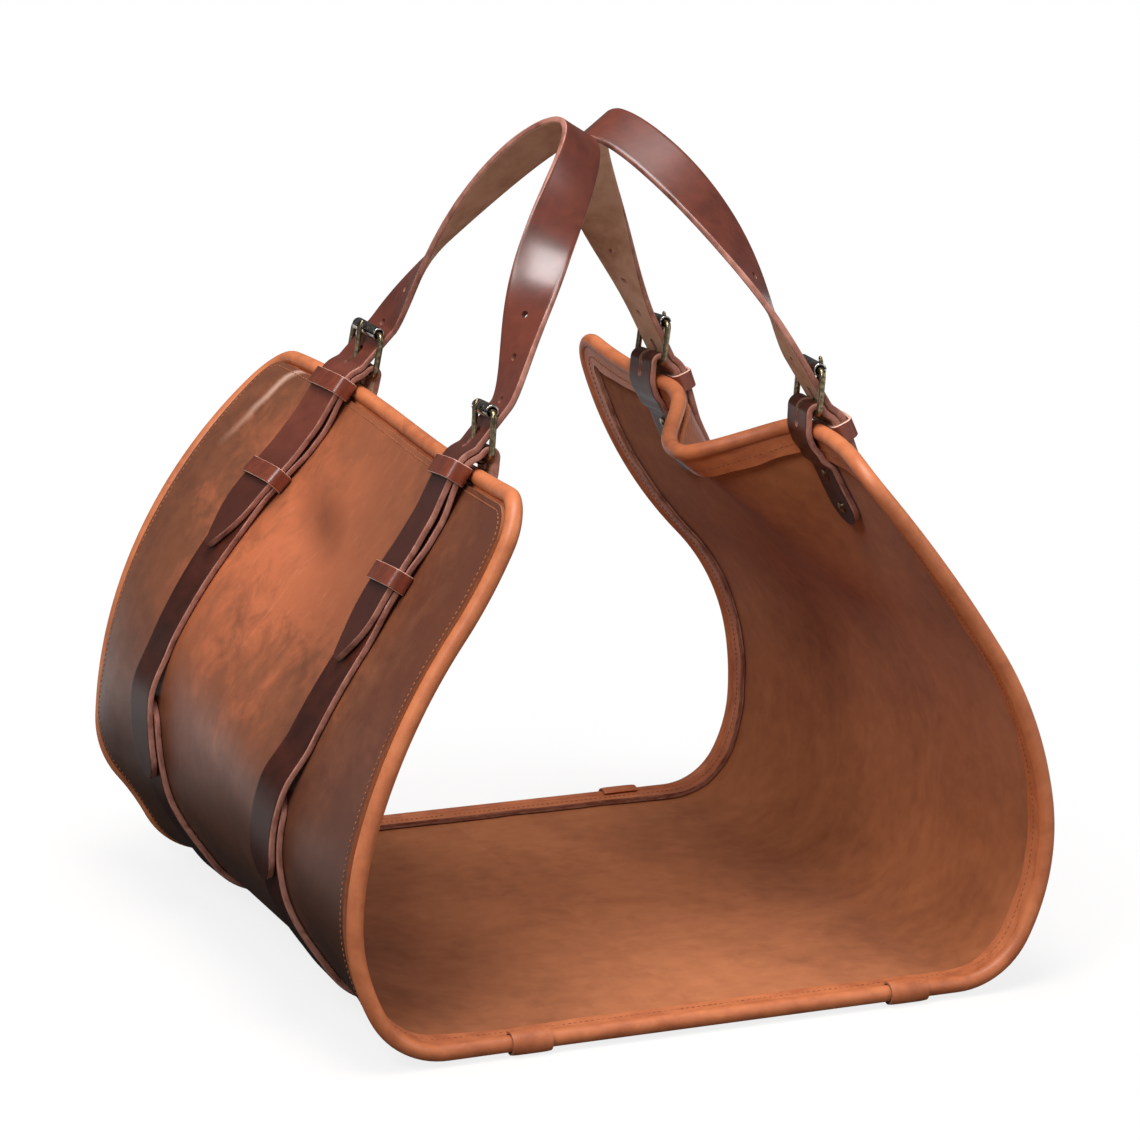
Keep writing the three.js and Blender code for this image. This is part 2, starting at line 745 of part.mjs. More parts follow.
// A tube that turns on the buckle's far bar.
function buckleRoller(frame) {
  const half = buckleHalf - buckleCorner - seat;
  const centre = frame.bar.clone().addScaledVector(frame.along, buckleLength);
  const steps = 10;
  const rings = Array.from({ length: steps }, (_, k) => {
    const angle = (k / steps) * 2 * Math.PI;
    const ray = frame.along
      .clone()
      .multiplyScalar(Math.cos(angle))
      .addScaledVector(frame.away, Math.sin(angle));
    const corner = (radius, x) =>
      centre.clone().addScaledVector(ray, radius).addScaledVector(frame.across, x);
    const bore = wireRadius + 2 * seat;
    return [
      corner(bore, -half), corner(rollerRadius, -half), corner(rollerRadius, half), corner(bore, half),
    ];
  });
  return loft(rings, { closed: true });
}

// The prong: an eye round the near bar, a straight shank, and a tip that rests over the roller.
const eyeRadius = wireRadius + seat + prongRadius;
const eyeSpan = 285;
const eyeSteps = 8;
function buckleProng(frame) {
  const { bar, along, away, across } = frame;
  const tipRadius = rollerRadius + seat + prongRadius;
  const line = arcPoints(eyeRadius, -eyeSpan, 0, eyeSteps).map(({ x, y }) => [y, x]);
  line.push([buckleLength, tipRadius]);
  line.push([buckleLength + prongOverhangLength / 2, tipRadius - prongDipDepth / 4]);
  line.push([buckleLength + prongOverhangLength, tipRadius - prongDipDepth]);
  const points = line.map(([y, x]) =>
    bar.clone().addScaledVector(along, y).addScaledVector(away, x),
  );
  const stations = points.map((centre, i) => {
    const before = points[Math.max(0, i - 1)];
    const after = points[Math.min(points.length - 1, i + 1)];
    const way = after.clone().sub(before).normalize();
    return { centre, first: across, second: across.clone().cross(way).normalize() };
  });
  return rod(stations, prongRadius, 6);
}

// The slot that lets the prong's eye turn inside the strap's loop.
function eyeSlot(frame) {
  const low = barRise - eyeRadius - prongRadius - seat * 2;
  const high = barRise + loopRadius + strapThickness;
  const box = new THREE.BoxGeometry(prongSlotWidth, 4 * overPipe, high - low);
  const centre = frame.point
    .clone()
    .addScaledVector(frame.up, (low + high) / 2)
    .addScaledVector(frame.out, barOffset);
  return place(box, centre, frame.across, frame.out);
}

// Where the prong goes through the handle's end, as a distance along its leaning line.
const prongSlope = (rollerRadius + seat + prongRadius - eyeRadius) / buckleLength;
const crossing = radians(strapLean) + frameTilt + Math.atan(prongSlope);
const prongReach = (loopRadius + lyingGap) / Math.tan(crossing) - eyeRadius / Math.sin(crossing);

function prongSlot(frame) {
  const box = new THREE.BoxGeometry(prongSlotWidth, 2 * strapThickness, prongSlotLength);
  const { x, y } = leanPoint(prongReach);
  const centre = frame.point.clone().addScaledVector(frame.up, y).addScaledVector(frame.out, x);
  return place(box, centre, frame.across, leanFrame(frame).out);
}

// A buckle's frame turned in its own plane so that its up runs along the handle's leaning line.
function leanFrame({ up, out }) {
  const turned = ({ x, y }) => out.clone().multiplyScalar(x).addScaledVector(up, y);
  return { up: turned(ringWay), out: turned(leanOut) };
}

// The handle's end: straight through the buckle, behind its roller, and down to a tapered tip
// that stands a little off the side strap.
const tipShares = [0, 0.2, 0.5, (handleTipDrop - tailRowDrop) / tipTaperLength, 1];
function handleEnd(side, middle) {
  const stations = tipShares.map((share) => {
    const drop = handleTipDrop - share * tipTaperLength;
    const width = lerp(tipBluntWidth / strapWidth, 1, Math.sin((share * Math.PI) / 2));
    return atDrop(side, middle, drop, handleOffset + (1 - share) * tipLiftHeight, width);
  });
  for (const drop of [...lyingDrops, ...nearTopDrops, 0]) {
    stations.push(atDrop(side, middle, drop, handleOffset));
  }
  const above = [...handleBend, leanStart, leanPoint(splitReach - foldGap / 2)];
  for (const { x, y } of above) stations.push(atDrop(side, middle, -y, x));
  stations[stations.length - 1].way = leanFrame(topFrame(side, middle)).up;
  return ribbon(stations, strapThickness);
}

function keeper(side, middle, drop) {
  const frame = edgeFrame(side, drop, middle);
  if (drop > keeperRoomLength + cornerRadius) {
    const [low, high] = [drop + keeperRoomLength, drop - keeperRoomLength].map(
      (end) => edgeFrame(side, end, middle).point,
    );
    frame.up = high.clone().sub(low).normalize();
    frame.point = low.add(high).multiplyScalar(0.5);
    frame.out = frame.across.clone().cross(frame.up).multiplyScalar(side.sign).normalize();
  }
  const halfAcross = halfStrap + keeperSlack + keeperThickness / 2;
  const low = sideOffset - halfStock - keeperSlack - keeperThickness / 2;
  const high = handleOffset + halfStock + keeperSlack + keeperThickness / 2;
  const straight = halfAcross - keeperCorner;
  const corners = [
    [straight, low + keeperCorner, -90],
    [straight, high - keeperCorner, 0],
    [-straight, high - keeperCorner, 90],
    [-straight, low + keeperCorner, 180],
  ];
  const stations = [];
  for (const [x, y, from] of corners) {
    for (const { x: dx, y: dy } of arcPoints(keeperCorner, from, from + 90, 2)) {
      stations.push({
        centre: frame.point
          .clone()
          .addScaledVector(frame.across, x + dx)
          .addScaledVector(frame.out, y + dy),
        half: frame.up.clone().multiplyScalar(keeperWidth / 2),
      });
    }
  }
  const band = ribbon(stations, keeperThickness, true);
  const mesh = addPiece(keeperName(side, middle, drop), band, "keeper");
  setAxis(mesh, frame.point, frame.up);
}

const sideName = (side) => (side.sign < 0 ? "left" : "right");
const endName = (middle) => (middle < 0 ? "front" : "back");
const pieceName = (start, side, middle) => `${start}_${sideName(side)}_${endName(middle)}`;
const keeperName = (side, middle, drop) =>
  pieceName(drop === upperKeeperDrop ? "keeper_upper" : "keeper_lower", side, middle);

// A rivet through both legs of the side strap and the hide: a domed head outside, a burr inside.
function rivet(side, middle, drop) {
  const frame = edgeFrame(side, drop, middle);
  const outer = girthOffset + halfStock + rivetSeat;
  const inner = innerOffset + halfStock + rivetSeat;
  const [top, bottom] = [outer + rivetHeadHeight, inner + rivetHeadHeight];
  const profile = [
    [0, -bottom], [rivetBurrRadius, -bottom], [rivetBurrRadius, -inner], [rivetShankRadius, -inner],
    [rivetShankRadius, outer], [rivetHeadRadius, outer],
    [rivetHeadRadius * rivetDomeShare, top], [0, top],
  ].map(([x, y]) => new THREE.Vector2(x, y));
  const geometry = new THREE.LatheGeometry(profile, 7);
  return place(geometry, frame.point, frame.across, frame.out);
}

function rivetPunches(side, middle) {
  return Object.values(rivetDrops).map((drop) => {
    const { point, out, across } = edgeFrame(side, drop, middle);
    return punch(point, out, across, rivetHoleRadius, 4 * overPipe);
  });
}

// The girth strap's stretch from the fold up to its rounded end under the side strap.
function girthEnd(side, middle) {
  const ends = { from: false, to: true };
  const top = foldAlong + lapEndHeight;
  const stations = lyingStations(side, middle, foldAlong, top, ends, () => girthOffset);
  stations[0].way = hideFrame(side, foldAlong, middle).up;
  return ribbon(stations, strapThickness);
}

// One leg of a handle from its buckle to the apex: a curve, and a half turn about its own line
// that brings the strap's smooth face from outwards at the buckle to upwards at the apex.
function legStations(side, middle, steps) {
  const frame = topFrame(side, middle);
  const { point, across } = frame;
  const { x, y } = leanPoint(splitReach + foldGap / 2);
  const start = point.addScaledVector(frame.up, y).addScaledVector(frame.out, x);
  const { up } = leanFrame(frame);
  const toFront = Math.sign(middle);
  const lean = radians(apexLean);
  const apex = apexPoint(side);
  const spread = side.sign * side.apexSpread;
  const curve = new THREE.CubicBezierCurve3(
    start,
    start.clone().addScaledVector(up, side.legReach),
    apex.clone().add(new THREE.Vector3(spread, toFront * apexReachLength, -apexDroopDepth)),
    apex,
  );
  const apexHalf = new THREE.Vector3(-side.sign * Math.cos(lean), 0, -Math.sin(lean));
  return Array.from({ length: steps + 1 }, (_, k) => {
    const share = k / steps;
    const turn = smooth(share, 0, 1) * (Math.PI / 2);
    const way = curve.getTangent(share);
    const half = across
      .clone()
      .multiplyScalar(toFront * Math.cos(turn))
      .addScaledVector(apexHalf, Math.sin(turn));
    half.addScaledVector(way, -half.dot(way)).setLength(halfStrap);
    return { centre: curve.getPoint(share), half, way };
  });
}

// The two handles' inner edges meet over the opening, with a touching gap between them.
function apexPoint(side) {
  const lean = radians(apexLean);
  const away = halfStrap * Math.cos(lean) + halfStock * Math.sin(lean) + seat / 2;
  return new THREE.Vector3(apexOffset + side.sign * away, 0, apexHeight);
}

const legSteps = 22;
function handleArch(side) {
  const front = legStations(side, -strapMiddle, legSteps);
  const back = legStations(side, strapMiddle, legSteps);
  const returning = back.slice(0, -1).reverse();
  const stations = [...front, ...returning.map((one) => ({ ...one, way: one.way.clone().negate() }))];
  const holes = [];
  for (const leg of [front, back]) {
    let walked = 0;
    let next = 2 * punchSpacing - (splitReach - prongReach);
    for (let k = 1; k < leg.length && holes.length % punchCount < punchCount; k++) {
      walked += leg[k].centre.distanceTo(leg[k - 1].centre);
      if (walked < next || next > punchSpacing * (punchCount + 1)) continue;
      const { centre, half, way } = leg[k];
      holes.push(punch(centre, half.clone().cross(way), way, punchRadius, 4 * strapThickness));
      next += punchSpacing;
    }
  }
  return cutFrom(ribbon(stations, strapThickness), holes);
}

function makeSide(side) {
  const name = sideName(side);
  const panelHoles = [-strapMiddle, strapMiddle].flatMap((middle) => rivetPunches(side, middle));
  const panel = addPiece(`hide_${name}`, cutFrom(makeHidePanel(side), panelHoles), "hide");
  const route = pipeRoute(side);
  addPiece(`binding_${name}`, sectionLoft(route, bindingOutline), "binding");
  addPiece(`rope_${name}`, rod(route, ropeRadius, ropeSides), "rope");
  const fold = hideFrame(side, foldAlong, 0);
  const foldPoint = fold.point.addScaledVector(fold.out, girthOffset + halfStock + pivotClearance);
  setAxis(panel, foldPoint, new THREE.Vector3(0, side.sign, 0));
  const pivots = [];
  for (const middle of [-strapMiddle, strapMiddle]) {
    const frame = buckleFrame(side, middle);
    const punches = rivetPunches(side, middle);
    addPiece(pieceName("girth_end", side, middle), girthEnd(side, middle), "strap");
    const strap = cutFrom(sideStrap(side, middle), [...punches, eyeSlot(frame)]);
    addPiece(pieceName("side_strap", side, middle), strap, "strap");
    const end = cutFrom(handleEnd(side, middle), [prongSlot(frame)]);
    addPiece(pieceName("handle_end", side, middle), end, "strap");
    for (const drop of [upperKeeperDrop, lowerKeeperDrop]) keeper(side, middle, drop);
    for (const [place, drop] of Object.entries(rivetDrops)) {
      addPiece(pieceName(`rivet_${place}`, side, middle), rivet(side, middle, drop), "metal");
    }
    addPiece(pieceName("buckle_frame", side, middle), buckleRing(frame), "metal");
    const roller = addPiece(pieceName("buckle_roller", side, middle), buckleRoller(frame), "metal");
    setAxis(roller, frame.bar.clone().addScaledVector(frame.along, buckleLength), frame.across);
    const prong = addPiece(pieceName("buckle_prong", side, middle), buckleProng(frame), "metal");
    setAxis(prong, frame.bar, frame.across.clone().multiplyScalar(side.sign));
    const clearOut = leanOut.clone().multiplyScalar(halfStock + swingClearance);
    const { x, y } = clearOut.add(leanPoint(splitReach));
    pivots.push(frame.point.clone().addScaledVector(frame.up, y).addScaledVector(frame.out, x));
  }
  const handle = addPiece(`handle_${name}`, handleArch(side), "strap");
  const swing = pivots[1].clone().sub(pivots[0]).multiplyScalar(side.sign);
  setAxis(handle, pivots[0].clone().add(pivots[1]).multiplyScalar(0.5), swing);
}

// The bottom: the hide between the folds, its piping front and back, and the two girth straps.
const cornerShares = [1 / 2, 1 / 3, 1 / 6, 0];
function bottomPlaces() {
  const alongs = cornerShares.map((share) => flatHalf + lowerCornerLength * share);
  alongs[0] -= foldGap / 2;
  const row = (side) => alongs.map((along) => [side, along]);
  return [...row(sides.left), ...row(sides.right).reverse()];
}
const bottomFrames = (y) => bottomPlaces().map(([side, along]) => hideFrame(side, along, y));

function makeBottom() {
  const end = carrierDepth / 2 - hideEdge;
  const columns = [-end, end].map((y) => bottomFrames(y));
  const grid = columns[0].map((_, i) => [columns[0][i], columns[1][i]]);
  addPiece("hide_bottom", thickSheet(grid, hideThickness), "hide");
  for (const sign of [-1, 1]) {
    const place = endName(sign);
    const turn = sign < 0 ? 0 : Math.PI;
    const edge = (sign * carrierDepth) / 2;
    const route = bottomPlaces().map(([side, along]) => pipeStation(side, along, edge, turn));
    addPiece(`binding_bottom_${place}`, sectionLoft(route, bindingOutline), "binding");
    addPiece(`rope_bottom_${place}`, rod(route, ropeRadius, ropeSides), "rope");
    const middle = sign * strapMiddle;
    const edges = [-halfStrap, halfStrap].map((by) => bottomFrames(middle + by));
    const stations = edges[0].map((frame, i) => {
      const [low, high] = edges.map((edge) =>
        edge[i].point.clone().addScaledVector(edge[i].out, girthOffset),
      );
      const half = high.clone().sub(low).multiplyScalar(0.5);
      return { centre: low.add(high).multiplyScalar(0.5), half };
    });
    stations[0].way = hideFrame(sides.left, foldAlong, middle).up.negate();
    stations[stations.length - 1].way = hideFrame(sides.right, foldAlong, middle).up;
    addPiece(`girth_strap_${place}`, ribbon(stations, strapThickness), "strap");
    for (const side of [sides.left, sides.right]) {
      const ends = [-1, 1].map((way) =>
        pipeStation(side, flatHalf - side.sleeveSetback + (way * sleeveLength) / 2, edge, turn),
      );
      const sleeve = sectionLoft(ends, sleeveOutline);
      addPiece(`sleeve_${sideName(side)}_${place}`, sleeve, "binding");
    }
  }
}

makeBottom();
makeSide(sides.left);
makeSide(sides.right);

// Centres the carrier over the origin, which its unlike sides leave a little to one side.
const extent = new THREE.Box3().setFromObject(group);
const shift = -(extent.min.x + extent.max.x) / 2;
for (const mesh of group.children) {
  mesh.geometry.translate(shift, 0, 0);
  if (mesh.userData.point) mesh.userData.point[0] += shift;
}

export default group;
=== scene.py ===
"""Leather log carrier, dressed for its render.

Lengths are in millimetres from the middle of the bottom until a mesh is made; make_mesh turns
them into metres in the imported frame. X runs across the opening, Y from the front opening to the
back one and Z up. "along" is a distance along the hide from the middle of its bottom, and "drop"
a distance down the panel from the middle of its top piping.
"""

import bpy
import numpy as np
from mathutils import Matrix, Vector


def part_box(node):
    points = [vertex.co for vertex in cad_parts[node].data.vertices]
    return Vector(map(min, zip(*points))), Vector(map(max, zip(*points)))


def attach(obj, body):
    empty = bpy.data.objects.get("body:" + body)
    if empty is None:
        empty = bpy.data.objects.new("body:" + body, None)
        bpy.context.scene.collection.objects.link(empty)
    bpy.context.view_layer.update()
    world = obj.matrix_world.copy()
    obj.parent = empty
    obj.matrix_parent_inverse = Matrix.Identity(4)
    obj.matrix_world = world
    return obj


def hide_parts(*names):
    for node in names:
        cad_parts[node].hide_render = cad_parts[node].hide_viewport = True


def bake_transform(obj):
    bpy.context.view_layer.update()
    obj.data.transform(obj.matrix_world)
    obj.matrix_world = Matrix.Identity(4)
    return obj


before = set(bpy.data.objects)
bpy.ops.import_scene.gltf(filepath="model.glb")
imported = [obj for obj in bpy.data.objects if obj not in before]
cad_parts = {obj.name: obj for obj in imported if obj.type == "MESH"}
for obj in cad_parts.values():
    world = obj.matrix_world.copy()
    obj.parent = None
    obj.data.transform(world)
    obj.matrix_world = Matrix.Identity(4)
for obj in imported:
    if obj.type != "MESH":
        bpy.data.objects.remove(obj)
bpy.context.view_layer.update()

# ---------------------------------------------------------------------------------------------
# The hide. One thick oil-tanned hide with its waxed grain side out and its suede side in. It is
# laid over the two girth straps and bent up on both sides, so each side is shown as one half of
# it from the middle of the bottom to the top edge.
# ---------------------------------------------------------------------------------------------
hide_thickness = 3.5
hide_depth = 450.0
hide_edge = 7.0
corner_radius = 26.0
strap_spacing = 234.0
strap_middle = strap_spacing / 2
bottom_height = 6.25
flat_half = 165.0
lower_corner = (55.0, 62.0)
fold_along = flat_half + lower_corner[0] / 2
section_places = np.array([-hide_depth, -strap_spacing, strap_spacing, hide_depth]) / 2

# Each panel's arcs from the lower corner to the top edge, as shares of the panel's run and turns in
# degrees, at the front edge, the two straps and the back edge. ripple, corner_lift and dent push its
# hide in or out, sleeve places its sleeves, and leg_reach, bow and twist shape its handle's legs.
panel_run = 320.0
panels = {
    "left": {
        "sign": -1,
        "ripple": 0.0,
        "sleeve": 114.0,
        "leg_reach": 24.0,
        "bow": {"front": [-15.0, 0, 0], "back": [-4.0, 0, 0]},
        "twist": {"front": 1.0, "back": 0.82},
        "corner_lift": 10.0,
        "dent": 4.0,
        "sections": np.array([
            [[0.1956, 30.8], [0.1588, 13.7], [0.3956, 19.2], [0.2612, -15.8]],
            [[0.2197, 20.2], [0.1534, 33.6], [0.2581, 9.7], [0.4025, -2.7]],
            [[0.3122, 25.7], [0.1725, 30.3], [0.3378, 16.6], [0.2722, -7.9]],
            [[0.1094, -11], [0.1406, 42], [0.3875, 24], [0.4813, 27]],
        ]) * [panel_run, 1],
    },
    "right": {
        "sign": 1,
        "ripple": 60.0,
        "sleeve": 130.5,
        "leg_reach": 42.0,
        "bow": {"front": [7.0, 0, 0], "back": [0.0, 0, 0]},
        "twist": {"front": 0.76, "back": 1.0},
        "corner_lift": 0.0,
        "dent": 0.0,
        "sections": np.array([
            [[0.1406, 19], [0.1375, 18], [0.3156, 24], [0.4625, 9]],
            [[0.1375, 18], [0.1437, 17], [0.3219, 30], [0.4406, -13]],
            [[0.1313, 21], [0.1375, 16], [0.3156, 32], [0.4313, -22]],
            [[0.1344, 25], [0.1406, 12], [0.2844, 35], [0.5125, -32]],
        ]) * [panel_run, 1],
    },
}
ripple_middle, ripple_edge, ripple_depth = -38.0, 100.0, 190.0
lift_from, lift_full, lift_fade, lift_end = flat_half - 40, flat_half + 20, flat_half + 45, flat_half + 115
dent_along, dent_middle, dent_slope, dent_width, dent_reach = 478.0, 30.0, 0.28, 17.0, 42.0
sag, sag_from, sag_full, sag_low, sag_high = 0.8, 135.0, 215.0, 8.0, 60.0

low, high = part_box("girth_strap_front")
middle_x = 1000.0 * (low[0] + high[0]) / 2


def ease(value, start, end):
    """Goes from 0 at start to 1 at end as 3t^2 - 2t^3."""
    t = np.clip((value - start) / (end - start), 0, 1)
    return t * t * (3 - 2 * t)


def stretches(panel, y):
    """Length and turn of each arc at depth y: every one runs on the cubic through its four sections."""
    shares = []
    for own in section_places:
        others = section_places[section_places != own]
        shares.append(np.prod([(y - other) / (own - other) for other in others], axis=0))
    arcs = np.tensordot(panel["sections"].transpose(1, 2, 0), np.array(shares), 1)
    return [(flat_half, 0.0), lower_corner, *arcs]


def panel_length(panel, y):
    """Distance along the hide from the middle of the bottom to the middle of the top piping."""
    return sum(length for length, _ in stretches(panel, y))


def hide_point(panel, along, y):
    """The middle of the hide. Arcs are laid end to end: an arc of length L and turn t moves its end by
    the chord L sin(t/2)/(t/2) at the heading half way round it. The rippled panel then leans in by a
    squared cosine across its top edge, the lower corner is lifted between its ends by 1 - y^4, a slanting
    dent is pressed into the left panel by exp(-a^2 - b^2), and the front and back edges sag to the ground."""
    along, y = np.broadcast_arrays(np.asarray(along, float), np.asarray(y, float))
    x, z = np.zeros_like(along), np.full_like(along, bottom_height)
    heading, left = np.zeros_like(along), along.copy()
    arcs = stretches(panel, y)
    for k, (length, turn) in enumerate(arcs):
        walked = np.maximum(left if k == len(arcs) - 1 else np.minimum(left, length), 0)
        bent = np.minimum(walked, length)
        angle = np.radians(turn) * bent / length
        chord = bent * np.sinc(angle / (2 * np.pi))
        x = x + chord * np.cos(heading + angle / 2)
        z = z + chord * np.sin(heading + angle / 2)
        heading = heading + angle
        x = x + (walked - bent) * np.cos(heading)
        z = z + (walked - bent) * np.sin(heading)
        left = left - walked
    reach = np.where(y < ripple_middle, ripple_edge + ripple_middle, ripple_edge - ripple_middle)
    across = np.cos(np.minimum(1, np.abs(y - ripple_middle) / reach) * np.pi / 2) ** 2
    down = np.clip(1 - (panel_length(panel, y) - along) / ripple_depth, 0, 1) ** 2
    push = panel["ripple"] * across * down
    bend = ease(along, lift_from, lift_full) * (1 - ease(along, lift_fade, lift_end))
    push = push + panel["corner_lift"] * bend * (1 - (y / (hide_depth / 2)) ** 4)
    beside = along - dent_along - dent_slope * (y - dent_middle)
    push = push + panel["dent"] * np.exp(-(beside / dent_width) ** 2 - ((y - dent_middle) / dent_reach) ** 2)
    sunk = sag * ease(np.abs(y), sag_from, sag_full) * (1 - ease(z, sag_low, sag_high))
    x, z = x - push * np.sin(heading), z + push * np.cos(heading) - sunk
    return np.stack([panel["sign"] * x, y, z], -1)


def unit(vectors):
    """Vectors of length 1."""
    return vectors / np.linalg.norm(vectors, axis=-1, keepdims=True)


def hide_frame(panel, along, y):
    """The hide's point with its directions up the panel, across the depth and outwards."""
    step = 0.4
    up = unit(hide_point(panel, along + step, y) - hide_point(panel, along - step, y))
    across = unit(hide_point(panel, along, y + step) - hide_point(panel, along, y - step))
    out = unit(np.cross(across, up)) * panel["sign"]
    return hide_point(panel, along, y), up, across, out


def in_frame(points):
    """Points in millimetres from the middle of the bottom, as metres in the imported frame."""
    return (points + np.array([middle_x, 0, 0])) * 0.001


def walk(points):
    """How far along a line of points each of them lies."""
    return np.concatenate([[0], np.cumsum(np.linalg.norm(np.diff(points, axis=0), axis=1))])


def make_mesh(name, points, faces, finishes, place, worn=None):
    """A smooth mesh from points in millimetres and rows of corners. place is the (u, v) of each face's
    corners on the leather in millimetres, and worn each face's finish."""
    mesh = bpy.data.meshes.new(name)
    corners = np.concatenate([rows.ravel() for rows in faces]).astype(np.int32)
    sizes = np.concatenate([np.full(len(rows), rows.shape[1]) for rows in faces])
    mesh.vertices.add(len(points))
    mesh.vertices.foreach_set("co", in_frame(points).ravel())
    mesh.loops.add(len(corners))
    mesh.loops.foreach_set("vertex_index", corners)
    mesh.polygons.add(len(sizes))
    mesh.polygons.foreach_set("loop_start", np.concatenate([[0], np.cumsum(sizes)[:-1]]).astype(np.int32))
    mesh.polygons.foreach_set("loop_total", sizes.astype(np.int32))
    mesh.polygons.foreach_set("use_smooth", np.ones(len(sizes), bool))
    for finish in finishes:
        mesh.materials.append(finish)
    if worn is not None:
        mesh.polygons.foreach_set("material_index", np.asarray(worn, np.int32))
    mesh.uv_layers.new(name="leather").uv.foreach_set("vector", (place * 0.001).ravel())
    mesh.update(calc_edges=True)
    mesh.set_sharp_from_angle(angle=np.radians(55))
    piece = bpy.data.objects.new(name, mesh)
    bpy.context.scene.collection.objects.link(piece)
    return piece


def swept(name, rings, finishes, sides=None, round_path=False):
    """A closed skin over rings of points, rings[i, j] being point j of the outline at station i. The
    ends are closed by strips between points j and m-1-j. sides[j] is the finish of the skin from
    point j to the next. The skin is turned inside out if its volume, the sum of a.(b x c)/6, is below 0."""
    n, m = rings.shape[:2]
    i, j = np.meshgrid(np.arange(n if round_path else n - 1), np.arange(m), indexing="ij")
    row, next_row, next_j = i * m, (i + 1) % n * m, (j + 1) % m
    skin = np.stack([row + j, row + next_j, next_row + next_j, next_row + j], -1).reshape(-1, 4)
    middle = rings.mean(1)
    along = walk(np.append(middle, middle[:1], 0))
    widest = rings[np.argmax(np.linalg.norm(rings - middle[:, None], axis=2).sum(1))]
    around = walk(np.append(widest, widest[:1], 0))
    u = np.stack([along[i], along[i], along[i + 1], along[i + 1]], -1)
    v = np.stack([around[j], around[j + 1], around[j + 1], around[j]], -1)
    place = np.stack([u, v], -1).reshape(-1, 2)
    worn = np.asarray(sides if sides is not None else np.zeros(m, int))[j].ravel()
    faces = [skin]
    if not round_path:
        k = np.arange(m // 2 - 1)
        start = np.stack([k, m - 1 - k, m - 2 - k, k + 1], -1)
        faces.append(np.concatenate([start, (n - 1) * m + start[:, ::-1]]))
        place = np.concatenate([place, np.zeros((8 * len(k), 2))])
        worn = np.concatenate([worn, np.full(2 * len(k), len(finishes) - 1)])
    points = rings.reshape(-1, 3)
    a, b, c, d = (points[skin[:, q]] for q in range(4))
    volume = np.einsum("ij,ij->", a, np.cross(b, c)) + np.einsum("ij,ij->", a, np.cross(c, d))
    if volume < 0:
        faces = [rows[:, ::-1] for rows in faces]
        place = place.reshape(-1, 4, 2)[:, ::-1].reshape(-1, 2)
    return make_mesh(name, points, faces, finishes, place, worn)


def linear(red, green, blue):
    """A written colour of 0 to 255 as Blender's linear one."""
    c = np.array([red, green, blue]) / 255
    return (*np.where(c <= 0.04045, c / 12.92, ((c + 0.055) / 1.055) ** 2.4), 1.0)


def new_group(name, inputs, outputs):
    """An empty shader group with named sockets, and its two ends."""
    group = bpy.data.node_groups.new(name, "ShaderNodeTree")
    for socket, kind, value in inputs:
        made = group.interface.new_socket(name=socket, in_out="INPUT", socket_type=kind)
        if value is not None:
            made.default_value = value
    for socket, kind in outputs:
        group.interface.new_socket(name=socket, in_out="OUTPUT", socket_type=kind)
    return group, group.nodes.new("NodeGroupInput"), group.nodes.new("NodeGroupOutput")


def wire(tree, kind, settings=(), **sockets):
    """Adds a node, sets its properties, and links or sets its input sockets by name or number."""
    node = tree.nodes.new(kind)
    for key, value in dict(settings).items():
        setattr(node, key, value)
    for key, value in sockets.items():
        key = int(key[1:]) if key[0] == "i" and key[1:].isdigit() else key.replace("_", " ")
        socket = node.inputs[key]
        if isinstance(value, bpy.types.NodeSocket):
            tree.links.new(value, socket)
        else:
            socket.default_value = value
    return node


def mathed(operation, a, b=0.0, clamp=False):
    """The value of one Math node, in the tree of whichever of a and b is a socket."""
    tree = (a if isinstance(a, bpy.types.NodeSocket) else b).id_data
    return wire(tree, "ShaderNodeMath", {"operation": operation, "use_clamp": clamp}, i0=a, i1=b).outputs[0]


def product(value, *others):
    """Values multiplied together."""
    for other in others:
        value = mathed("MULTIPLY", value, other)
    return value


def blended(share, a, b):
    """The colour of one Mix node."""
    return wire(share.id_data, "ShaderNodeMix", {"data_type": "RGBA"}, i0=share, i6=a, i7=b).outputs[2]


def noise(vector, scale, detail=3.0, rough=0.55, twist=0.0):
    """The value of a Noise texture of so many waves a metre."""
    return wire(vector.id_data, "ShaderNodeTexNoise", Vector=vector, Scale=scale, Detail=detail,
                Roughness=rough, Distortion=twist).outputs["Fac"]


def ranged(value, low, high, to_low=0.0, to_high=1.0):
    """A value's range moved on to another and clamped."""
    return wire(value.id_data, "ShaderNodeMapRange", Value=value, From_Min=low, From_Max=high,
                To_Min=to_low, To_Max=to_high).outputs[0]


# Tanned grain: small cells with creases between them, and pores. Height is 0 to 1.
grain_group, ends_in, ends_out = new_group(
    "tanned_grain",
    [("Vector", "NodeSocketVector", None), ("Cells", "NodeSocketFloat", 700.0),
     ("Creases", "NodeSocketFloat", 0.5)],
    [("Height", "NodeSocketFloat")],
)
vector = ends_in.outputs["Vector"]
bent = wire(grain_group, "ShaderNodeTexNoise", Vector=vector, Scale=260.0).outputs["Color"]
bent = wire(grain_group, "ShaderNodeVectorMath", {"operation": "SCALE"}, i0=bent, Scale=0.0012).outputs[0]
bent = wire(grain_group, "ShaderNodeVectorMath", {"operation": "ADD"}, i0=vector, i1=bent).outputs[0]
cells = wire(grain_group, "ShaderNodeTexVoronoi", {"feature": "DISTANCE_TO_EDGE"}, Vector=bent,
             Scale=ends_in.outputs["Cells"]).outputs["Distance"]
cells = product(ranged(cells, 0.0, 0.22), ends_in.outputs["Creases"])
height = mathed("ADD", cells, product(noise(vector, 1900.0, 2.0), 0.5))
grain_group.links.new(height, ends_out.inputs["Height"])

